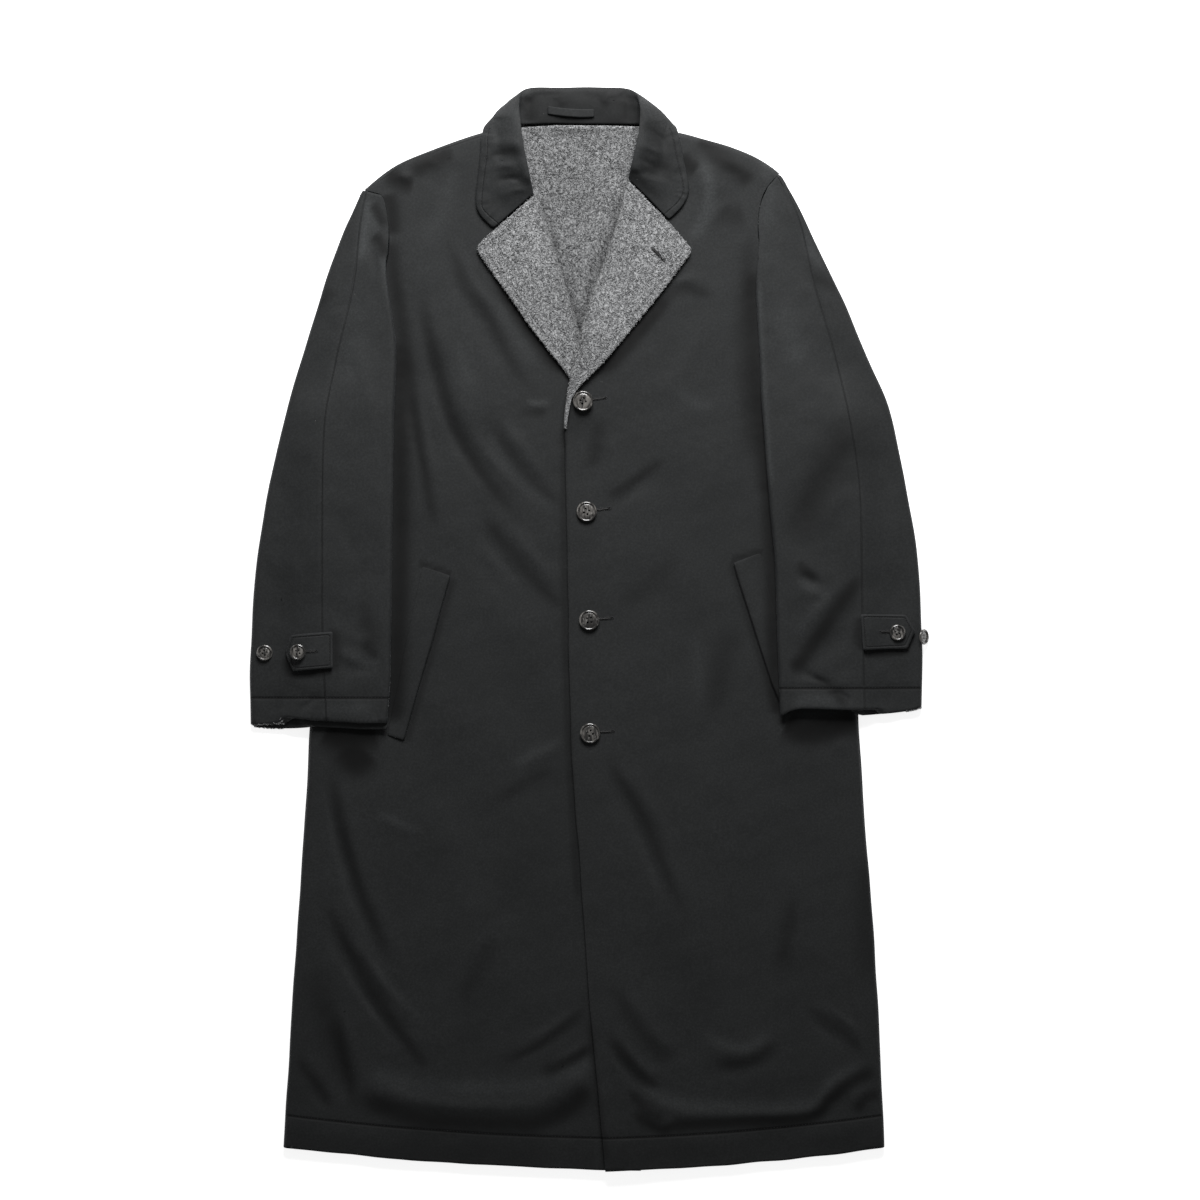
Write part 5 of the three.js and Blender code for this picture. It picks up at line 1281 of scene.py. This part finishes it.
for side in ("right", "left"):
    trimPiece("pocket_welt_" + side, trimPattern["welt"][side], bodyRelief, "gabardine_welt_" + side)
    trimPiece("cuff_strap_" + side, trimPattern["strap"][side], sleeveRelief(side), "gabardine_strap_" + side)
trimPiece("hanger_loop", [], lambda x, y: unevenness(x, y, "loop"), "gabardine_loop")
print("welts, straps and loop made")
trees = {node: shellTree(piece.data) for node, piece in shells.items()}


# Tufts of the wool side

tuftLook = {"height": 0.7, "run": 1.5, "radius": 0.2, "sides": 3,
            "lapel": 3300, "back": 3300, "cuff": 200, "tail": 262}
woolEdges = {
    # where the wool shows at the mouth of a cuff, across the sleeve
    "right": (-379, -345), "left": (362, 379),
}


def tufts(name, node, count, keep, slot, seed, paintedStrokes=liningPaintedShade, paintedLightShare=1.0):
    # short curled loops of yarn, rooted in the wool faces of a shell
    chance = np.random.default_rng(seed)
    mesh = shells[node].data
    mesh.calc_loop_triangles()
    corner = np.zeros(len(mesh.loop_triangles) * 3, int)
    mesh.loop_triangles.foreach_get("vertices", corner)
    owner = np.zeros(len(mesh.loop_triangles), int)
    mesh.loop_triangles.foreach_get("polygon_index", owner)
    kind = np.zeros(len(mesh.polygons), int)
    mesh.polygons.foreach_get("material_index", kind)
    a, b, c = np.moveaxis(coordinates(mesh)[corner.reshape(-1, 3)], 1, 0)
    flat = np.cross(b - a, c - a)
    area = np.linalg.norm(flat, axis=1) / 2
    normal = flat / np.maximum(2 * area, 1e-12)[:, None]
    x, y = patternXY((a + b + c) / 3)
    weight = area * keep(x, y, normal, kind[owner])
    if weight.sum() == 0:
        print("no place for", name)
        return
    pick = chance.choice(len(area), count, p=weight / weight.sum())
    u, v = chance.random((2, count, 1))
    over = u + v > 1
    u, v = np.where(over, 1 - u, u), np.where(over, 1 - v, v)
    base = a[pick] + u * (b - a)[pick] + v * (c - a)[pick]
    up = normal[pick]
    way = chance.normal(size=(count, 3))
    way -= (way * up).sum(1, keepdims=True) * up
    way /= np.linalg.norm(way, axis=1, keepdims=True)
    across = np.cross(up, way)
    size = chance.uniform(0.65, 1.35, (count, 1))
    curl = chance.uniform(-1, 1, (count, 1))
    high, run = tuftLook["height"] * mm * size, tuftLook["run"] * mm * size
    shape = [(-0.25, 0.0, 0.0), (0.85, 0.2, 0.1), (0.95, 0.65, 0.4), (-0.2, 1.0, 0.55)]
    line = np.stack([base + up * high * h + way * run * r + across * run * curl * c for h, r, c in shape], 1)
    ahead = np.gradient(line, axis=1)
    ahead /= np.linalg.norm(ahead, axis=2, keepdims=True)
    first = np.cross(ahead, across[:, None, :] + 0.3 * up[:, None, :])
    first /= np.linalg.norm(first, axis=2, keepdims=True)
    second = np.cross(ahead, first)
    sides = tuftLook["sides"]
    thick = tuftLook["radius"] * mm * np.array([0.8, 1.15, 1.1, 0.7])[None, :, None] * size[:, None, :]
    rings = [line + thick * (math.cos(t) * first + math.sin(t) * second)
             for t in (2 * math.pi * k / sides for k in range(sides))]
    points = np.stack(rings, 2)  # tuft, step along it, side, place
    steps = points.shape[1]
    index = np.arange(count * steps * sides).reshape(count, steps, sides)
    low, high = index[:, :-1], index[:, 1:]
    faces = np.stack([low, np.roll(low, -1, 2), np.roll(high, -1, 2), high], -1).reshape(-1, 4)
    tuft = bpy.data.meshes.new(name)
    tuft.from_pydata(points.reshape(-1, 3).tolist(), [], faces.tolist())
    tuft.polygons.foreach_set("use_smooth", [True] * len(tuft.polygons))
    tuft.materials.append(finish["tuft"])
    writePaintedLight(tuft, paintedStrokes, paintedLightShare)
    pieceObject(name, tuft, slot)


def onLapel(x, y, normal, kind):
    return (kind == 0) & (normal[:, 2] > -0.3) & (y > tuftLook["tail"])


def onNeckWool(x, y, normal, kind):
    inside = (x > frontEdge["right"](y) - 6) & (x < frontEdge["left"](y) + 4)
    return inside & (y > 290) & (y < 571) & (normal[:, 2] > 0.3)


def onCuffEdge(side):
    low, high = woolEdges[side]

    def keep(x, y, normal, kind):
        return (x > low) & (x < high) & (y < bodyPattern["cuff"][side] + 8) & (normal[:, 1] < -0.45)
    return keep


tufts("lapel_right_tufts", "lapel_right", tuftLook["lapel"], onLapel, "wool_lapel_right", 61, woolPaintedShade, 0.5)
tufts("lapel_left_tufts", "lapel_left", int(1.2 * tuftLook["lapel"]), onLapel, "wool_lapel_left", 62,
      woolPaintedShade, 0.5)
tufts("back_wool_tufts", "back_wool", tuftLook["back"], onNeckWool, "wool_back", 63)
for side, seed in (("right", 64), ("left", 65)):
    tufts(f"cuff_{side}_tufts", f"sleeve_{side}_back", tuftLook["cuff"], onCuffEdge(side),
          f"gabardine_sleeve_{side}_back", seed)
print("tufts made")


# Sewing

sewing = {
    "pitch": 3.6, "share": 0.62, "radius": 0.24, "sides": 5, "sunk": 0.16, "strapPitch": 3.0,
    "hem": {"right": (-336, 60), "left": (16, 329)}, "lapFrom": 14,
    # the cuff rows, and how far out the front panel ends and the back one begins
    "cuffHeight": -75, "cuffInset": 2.5, "frontTo": {"right": 298, "left": 311},
    "backFrom": {"right": 299, "left": 312},
}


def tubeInto(bm, points, radius, sides):
    # a thin closed tube along a few points
    rings = []
    for i, point in enumerate(points):
        along = (points[min(i + 1, len(points) - 1)] - points[max(i - 1, 0)]).normalized()
        first = along.orthogonal().normalized()
        second = along.cross(first)
        size = radius * (0.55 if i in (0, len(points) - 1) else 1)
        ring = [point + size * (math.cos(a) * first + math.sin(a) * second)
                for a in (2 * math.pi * k / sides for k in range(sides))]
        if rings:
            # keep the rings in step, so that the tube isn't twisted
            shift = min(range(sides), key=lambda s: (ring[s] - rings[-1][0].co).length)
            ring = ring[shift:] + ring[:shift]
        rings.append([bm.verts.new(p) for p in ring])
    for low, high in zip(rings, rings[1:]):
        for k in range(sides):
            bm.faces.new((low[k], low[(k + 1) % sides], high[(k + 1) % sides], high[k]))
    bm.faces.new(rings[0][::-1])
    bm.faces.new(rings[-1])


def meshFrom(bm, name, material):
    bmesh.ops.recalc_face_normals(bm, faces=bm.faces)
    mesh = bpy.data.meshes.new(name)
    bm.to_mesh(mesh)
    bm.free()
    mesh.materials.append(material)
    mesh.polygons.foreach_set("use_smooth", [True] * len(mesh.polygons))
    return mesh


def offsetLine(line, distance):
    # a line beside another, to its left if the distance is positive
    ahead = np.gradient(line, axis=0)
    ahead /= np.maximum(np.hypot(ahead[:, 0], ahead[:, 1]), 1e-9)[:, None]
    return line + distance * np.stack([-ahead[:, 1], ahead[:, 0]], 1)


def sew(name, runs, slot, material=None, pitch=None):
    # rows of stitches along lines of the pattern, each laid on its shell
    bm = bmesh.new()
    pitch = pitch or sewing["pitch"]
    for node, line in runs:
        line = np.array(line, float)
        length = np.concatenate([[0], np.cumsum(np.hypot(*np.diff(line, axis=0).T))])
        for start in np.arange(0.5, length[-1] - pitch, pitch):
            points = []
            for share, lift in ((0, -sewing["sunk"]), (0.5, 0.12), (1, -sewing["sunk"])):
                at = start + share * sewing["share"] * pitch
                x, y = np.interp(at, length, line[:, 0]), np.interp(at, length, line[:, 1])
                point, normal = seated(trees[node], x, y, lift)
                if point is not None and normal.z > 0.3:
                    points.append(point)
            if len(points) == 3 and (points[0] - points[2]).length < 1.5 * pitch * mm:
                tubeInto(bm, points, sewing["radius"] * mm, sewing["sides"])
    mesh = meshFrom(bm, name, material or finish["thread"])
    return pieceObject(name, mesh, slot)


def hemRun(side):
    hem = bodyPattern["hem"]
    x = np.linspace(*sewing["hem"][side], 50)
    return np.stack([x, hemLine(x) + hem["band"]], 1)


def cuffRun(side):
    ends = sorted((sleeveInner[side](sewing["cuffHeight"]), sleeveOuter[side](sewing["cuffHeight"])))
    x = np.linspace(ends[0] + sewing["cuffInset"], ends[1] - sewing["cuffInset"], 30)
    return np.stack([x, np.full(len(x), bodyPattern["cuff"][side] + bodyPattern["cuff"]["band"])], 1)


sew("front_left_sewing", [("front_left", hemRun("left"))], "gabardine_front_left")
hemRight = hemRun("right")
hemRight = hemRight[hemRight[:, 0] < sewing["lapFrom"]]
sew("front_right_sewing", [("front_right", hemRight)], "gabardine_front_right")
for side in ("right", "left"):
    band = cuffRun(side)
    runs = []
    for part in ("front", "back"):
        node = f"sleeve_{side}_{part}"
        low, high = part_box(node)
        across = band[:, 0] + patternShift[0]
        keep = (across > low.x / mm + 1) & (across < high.x / mm - 1)
        if part == "back":
            keep &= band[:, 0] * outward[side] > sewing["backFrom"][side]
        else:
            keep &= band[:, 0] * outward[side] < sewing["frontTo"][side]
        if keep.sum() > 2:
            runs.append((node, band[keep]))
    sew(f"sleeve_{side}_sewing", runs, f"gabardine_sleeve_{side}_front")
collarRuns = [("collar", offsetLine(smoothPath(collarPattern["edge"][:6]), -collarPattern["inset"])),
              ("collar", offsetLine(smoothPath(collarPattern["leftEdge"][2:]), -collarPattern["inset"]))]
sew("collar_sewing", collarRuns, "gabardine_collar")
for side in ("right", "left"):
    outline = smoothPath(lapelPattern[side][1:], 4)
    run = offsetLine(outline, (1 if side == "right" else -1) * lapelPattern["inset"])
    sew(f"lapel_{side}_sewing", [("lapel_" + side, run)], "wool_lapel_" + side, finish["greyThread"])


def insetOutline(outline, inset):
    # a closed outline moved towards its middle, corner by corner
    p = np.array(outline, float)
    middle = p.mean(0)
    out = []
    for i in range(len(p)):
        a, b, c = p[i - 1], p[i], p[(i + 1) % len(p)]
        n1 = np.array([-(b - a)[1], (b - a)[0]]) / np.hypot(*(b - a))
        n2 = np.array([-(c - b)[1], (c - b)[0]]) / np.hypot(*(c - b))
        n1 *= np.sign(n1 @ (middle - b)) or 1
        n2 *= np.sign(n2 @ (middle - b)) or 1
        out.append(b + inset * (n1 + n2) / (1 + n1 @ n2))
    return np.array(out + out[:1])


for side in ("right", "left"):
    run = insetOutline(trimPattern["strap"][side], trimPattern["inset"])
    sew(f"cuff_strap_{side}_sewing", [(f"cuff_strap_{side}", run)], "gabardine_strap_" + side,
        pitch=sewing["strapPitch"])
print("sewing made")


# Buttonholes: a slit with a thick row of thread round it, and a near-black tube in the slit as painted shadow

holeLook = {"radius": 0.3, "reach": 2.1, "step": 0.7, "slit": 1.0, "shade": 1.05}
buttonholes = {
    "front_hole_1": ("front_left", (-3, 257.4), (21, 261)),
    "front_hole_2": ("front_left", (1, 132.4), (25, 135.6)),
    "front_hole_3": ("front_left", (4, 9.4), (28, 11.2)),
    "front_hole_4": ("front_left", (5, -118.6), (29, -117)),
    "lapel_hole": ("lapel_left", (73.5, 430), (86.5, 416.5)),
    "strap_hole_right": ("cuff_strap_right", (-329, -27), (-306, -26.2)),
    "strap_hole_left": ("cuff_strap_left", (353, -5), (332, -4.2)),
}


def buttonhole(name, node, start, end):
    bm = bmesh.new()
    a, b = np.array(start, float), np.array(end, float)
    length = np.hypot(*(b - a))
    along = (b - a) / length
    across = np.array([-along[1], along[0]])
    loops = []
    for at in np.arange(0, length, holeLook["step"]):
        loops += [(a + along * at, across), (a + along * at, -across)]
    for turn in np.linspace(-80, 80, 9):
        angle = math.radians(turn)
        loops.append((b, math.cos(angle) * along + math.sin(angle) * across))
        loops.append((a, -math.cos(angle) * along + math.sin(angle) * across))
    tree = trees[node]
    for place, way in loops:
        points = []
        for reach, lift in ((holeLook["slit"], -0.05), (0.55 * holeLook["reach"], 0.5),
                            (holeLook["reach"], -0.1)):
            x, y = place + way * reach
            point, _ = seated(tree, x, y, lift)
            if point is not None:
                points.append(point)
        if len(points) == 3:
            tubeInto(bm, points, holeLook["radius"] * mm, 5)
    slot = {"front_left": "gabardine_front_left", "lapel_left": "wool_lapel_left",
            "cuff_strap_right": "gabardine_strap_right", "cuff_strap_left": "gabardine_strap_left"}[node]
    pieceObject(name, meshFrom(bm, name, finish["holeThread"]), slot)
    # a near-black tube along the slit stands in for the shadow inside it
    gap = bmesh.new()
    line = [seated(tree, *(a + along * at), 0.15)[0] for at in np.linspace(0, length, 12)]
    tubeInto(gap, [point for point in line if point is not None], holeLook["shade"] * mm, 6)
    pieceObject(name + "_slit", meshFrom(gap, name + "_slit", finish["slit"]), slot)


for name, (node, start, end) in buttonholes.items():
    buttonhole(name, node, start, end)
print("buttonholes made")


# Horn buttons, sewn through four holes

buttonLook = {
    "front": {"radius": 11.5, "height": 3.6, "hole": 1.25, "spread": 2.2},
    "cuff": {"radius": 9.0, "height": 3.2, "hole": 1.05, "spread": 1.75},
    "edgeTilt": 52,  # degrees, on the turn of the sleeve
    "turns": {"front_button_1": -58, "front_button_2": -26, "front_button_3": 8, "front_button_4": 30,
              "cuff_button_right_1": 10, "cuff_button_right_2": -35,
              "cuff_button_left_1": 20, "cuff_button_left_2": 0},
}


def buttonProfile(radius, height):
    # half section of a button with a raised rim and a dished middle, from its back to its middle
    rim, dish = radius - 1.3, height - 1.35
    return [(0, 0.25), (radius * 0.5, 0.1), (radius - 2.2, 0), (radius - 1.0, 0.35), (radius - 0.25, 1.1),
            (radius, 1.9), (radius - 0.12, height - 0.9), (radius - 0.5, height - 0.3), (rim, height),
            (radius - 1.8, height - 0.2), (radius - 2.2, dish - 0.3), (radius - 2.9, dish - 0.4),
            (radius - 3.6, dish + 0.05), (radius * 0.4, dish + 0.1), (0, dish)]


def lathe(profile, steps):
    bm = bmesh.new()
    rings = []
    for r, z in profile:
        if r == 0:
            rings.append([bm.verts.new((0, 0, z * mm))])
        else:
            rings.append([bm.verts.new((r * mm * math.cos(a), r * mm * math.sin(a), z * mm))
                          for a in (2 * math.pi * k / steps for k in range(steps))])
    for low, high in zip(rings, rings[1:]):
        for k in range(steps):
            corners = [low[k % len(low)], low[(k + 1) % len(low)], high[(k + 1) % len(high)],
                       high[k % len(high)]]
            bm.faces.new(list(dict.fromkeys(corners)))
    return bm


def buttonMesh(kind):
    look = buttonLook[kind]
    mesh = meshFrom(lathe(buttonProfile(look["radius"], look["height"]), 72), kind + "_button",
                    finish["horn"])
    holder = bpy.data.objects.new(kind + "_holder", mesh)
    scene.collection.objects.link(holder)
    cutters = []
    for sx in (-1, 1):
        for sy in (-1, 1):
            drill = lathe([(0, -2), (look["hole"], -2), (look["hole"], 6), (0, 6)], 20)
            bmesh.ops.translate(drill, verts=drill.verts,
                                vec=(sx * look["spread"] * mm, sy * look["spread"] * mm, 0))
            cutter = bpy.data.objects.new("drill", meshFrom(drill, "drill", finish["horn"]))
            scene.collection.objects.link(cutter)
            cutters.append(cutter)
            cut = holder.modifiers.new("hole", "BOOLEAN")
            cut.operation = "DIFFERENCE"
            cut.object = cutter
    bpy.context.view_layer.update()
    done = bpy.data.meshes.new_from_object(holder.evaluated_get(bpy.context.evaluated_depsgraph_get()))
    for gone in [holder, *cutters]:
        bpy.data.objects.remove(gone)
    done.name = kind + "_button_shape"
    for polygon in done.polygons:
        polygon.use_smooth = True
    done.set_sharp_from_angle(angle=math.radians(38))
    return done


def buttonThread(kind, shank):
    # two bars of thread across the holes, and the wound shank beneath
    look = buttonLook[kind]
    top = look["height"] - 1.4
    bm = bmesh.new()
    for sx in (-1, 1):
        for strand in (-0.24, 0.0, 0.24):
            x = sx * look["spread"] + strand
            s = look["spread"]
            bar = [(x, -s * 0.8, top - 0.7), (x, -s * 0.62, top + 0.05),
                   (x, 0, top + 0.2 - 0.4 * abs(strand)),
                   (x, s * 0.62, top + 0.05), (x, s * 0.8, top - 0.7)]
            tubeInto(bm, [Vector(p) * mm for p in bar], 0.16 * mm, 6)
    for turn in range(max(1, int(shank / 0.5))):
        ring = [Vector((2.1 * math.cos(a), 2.1 * math.sin(a), -0.3 - 0.5 * turn)) * mm
                for a in (2 * math.pi * k / 14 for k in range(15))]
        tubeInto(bm, ring, 0.3 * mm, 5)
    return meshFrom(bm, kind + "_button_thread", finish["buttonThread"])


buttonShapes = {kind: buttonMesh(kind) for kind in ("front", "cuff")}


def button(node):
    kind = "front" if node.startswith("front") else "cuff"
    low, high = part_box(node)
    middle = (low + high) / 2
    look = buttonLook[kind]
    tilt = math.radians(buttonLook["edgeTilt"]) if node == "cuff_button_left_2" else 0
    if tilt:
        # the solid's centre lies half its height along the tilted axis from its back
        base = middle - Vector((math.sin(tilt), 0, math.cos(tilt))) * look["height"] / 2 * mm
        shank = 0.5
    else:
        base = Vector((middle.x, middle.y, high.z - look["height"] * mm))
        shank = (high.z - low.z) / mm - look["height"]
        x, y = middle.x / mm - patternShift[0], middle.y / mm - patternShift[1]
        relief = bodyRelief if kind == "front" else sleeveRelief(node.split("_")[2])
        base.z += mm * float(relief(np.array([x]), np.array([y]))[0])
    spin = Matrix.Rotation(math.radians(buttonLook["turns"][node]), 4, "Z")
    turn = Matrix.Translation(base) @ Matrix.Rotation(tilt, 4, "Y") @ spin
    mesh = buttonShapes[kind].copy()
    mesh.transform(turn)
    pieceObject(node + "_horn", mesh, "horn", node)
    sewn = buttonThread(kind, shank)
    sewn.transform(turn)
    pieceObject(node + "_thread", sewn, "horn")


for node in buttonLook["turns"]:
    button(node)
print("buttons made")


# The sheets as cut, in metres

sheetCuts = {
    "back": ((0.70, 1.20), "laid", []),
    "back_wool": ((0.19, 0.33), "laid", ["back_cloth"]),
    "front_right": ((0.41, 1.21), "laid", ["back_cloth"]),
    "front_left": ((0.38, 1.21), "laid", ["back_cloth"]),
    "lapel_right": ((0.10, 0.24), "folded", ["front_right_cloth"]),
    "lapel_left": ((0.10, 0.29), "folded", ["front_left_cloth"]),
    "sleeve_right_front": ((0.09, 0.62), "folded", ["front_right_cloth"]),
    "sleeve_right_back": ((0.26, 0.62), "folded", ["front_right_cloth"]),
    "sleeve_left_front": ((0.11, 0.62), "folded", ["front_left_cloth"]),
    "sleeve_left_back": ((0.26, 0.62), "folded", ["front_left_cloth"]),
    "collar": ((0.12, 0.48), "folded", ["front_right_cloth", "front_left_cloth"]),
    "pocket_welt_right": ((0.035, 0.20), "laid", ["front_right_cloth"]),
    "pocket_welt_left": ((0.032, 0.21), "laid", ["front_left_cloth"]),
    "cuff_strap_right": ((0.042, 0.056), "laid", ["sleeve_right_front_cloth"]),
    "cuff_strap_left": ((0.042, 0.062), "laid", ["sleeve_left_back_cloth"]),
    "hanger_loop": ((0.012, 0.056), "laid", ["collar_cloth"]),
}


for node, (flat, held, restsOn) in sheetCuts.items():
    piece = shells[node]


# Surface, light and camera

studio = {
    "floor": {"colour": (0.90, 0.90, 0.90), "glow": 0.8},
    "world": 0.15,
    "key": {"place": (0.08, 1.40, 1.05), "aim": (0.01, 0.12, 0.0), "size": 0.8, "power": 40},
    "camera": {"place": (0.01194, 0.03231, 3.791), "lens": 100, "sensor": 36},
}


def floorPiece():
    bm = bmesh.new()
    bmesh.ops.create_grid(bm, x_segments=2, y_segments=2, size=6)
    material, tree, surface, place = newFinish("paleFloor", {"Roughness": 0.9, "Specular IOR Level": 0.1})
    shade = noiseOf(tree, place, 3.0, 2.0)
    pale = studio["floor"]["colour"]
    tree.links.new(mixColour(tree, shade, pale, tuple(v * 0.985 for v in pale)), surface.inputs["Base Color"])
    surface.inputs["Emission Color"].default_value = (1, 1, 1, 1)
    surface.inputs["Emission Strength"].default_value = studio["floor"]["glow"]
    floor = bpy.data.objects.new("floor", meshFrom(bm, "floor", material))
    floor.location.z = -0.0004
    scene.collection.objects.link(floor)
    floor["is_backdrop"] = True


def areaLight(name, look):
    light = bpy.data.lights.new(name, "AREA")
    light.shape = "SQUARE"
    light.size = look["size"]
    light.energy = look["power"]
    lamp = bpy.data.objects.new(name, light)
    lamp.location = look["place"]
    lamp.rotation_euler = (Vector(look["aim"]) - Vector(look["place"])).to_track_quat("-Z", "Y").to_euler()
    scene.collection.objects.link(lamp)


floorPiece()
areaLight("softKey", studio["key"])
world = bpy.data.worlds.new("studio")
world.use_nodes = True
world.node_tree.nodes["Background"].inputs["Color"].default_value = (1, 1, 1, 1)
world.node_tree.nodes["Background"].inputs["Strength"].default_value = studio["world"]
scene.world = world
camera = bpy.data.cameras.new("camera")
camera.lens = studio["camera"]["lens"]
camera.sensor_width = studio["camera"]["sensor"]
camera.clip_end = 20
eye = bpy.data.objects.new("camera", camera)
eye.location = studio["camera"]["place"]
scene.collection.objects.link(eye)
scene.camera = eye
scene.view_settings.view_transform = "Standard"
print("studio made")

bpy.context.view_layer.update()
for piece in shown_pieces():
    if piece.type == "MESH" and len(piece.data.polygons) > 60000:
        print("large piece", piece.name, len(piece.data.polygons))
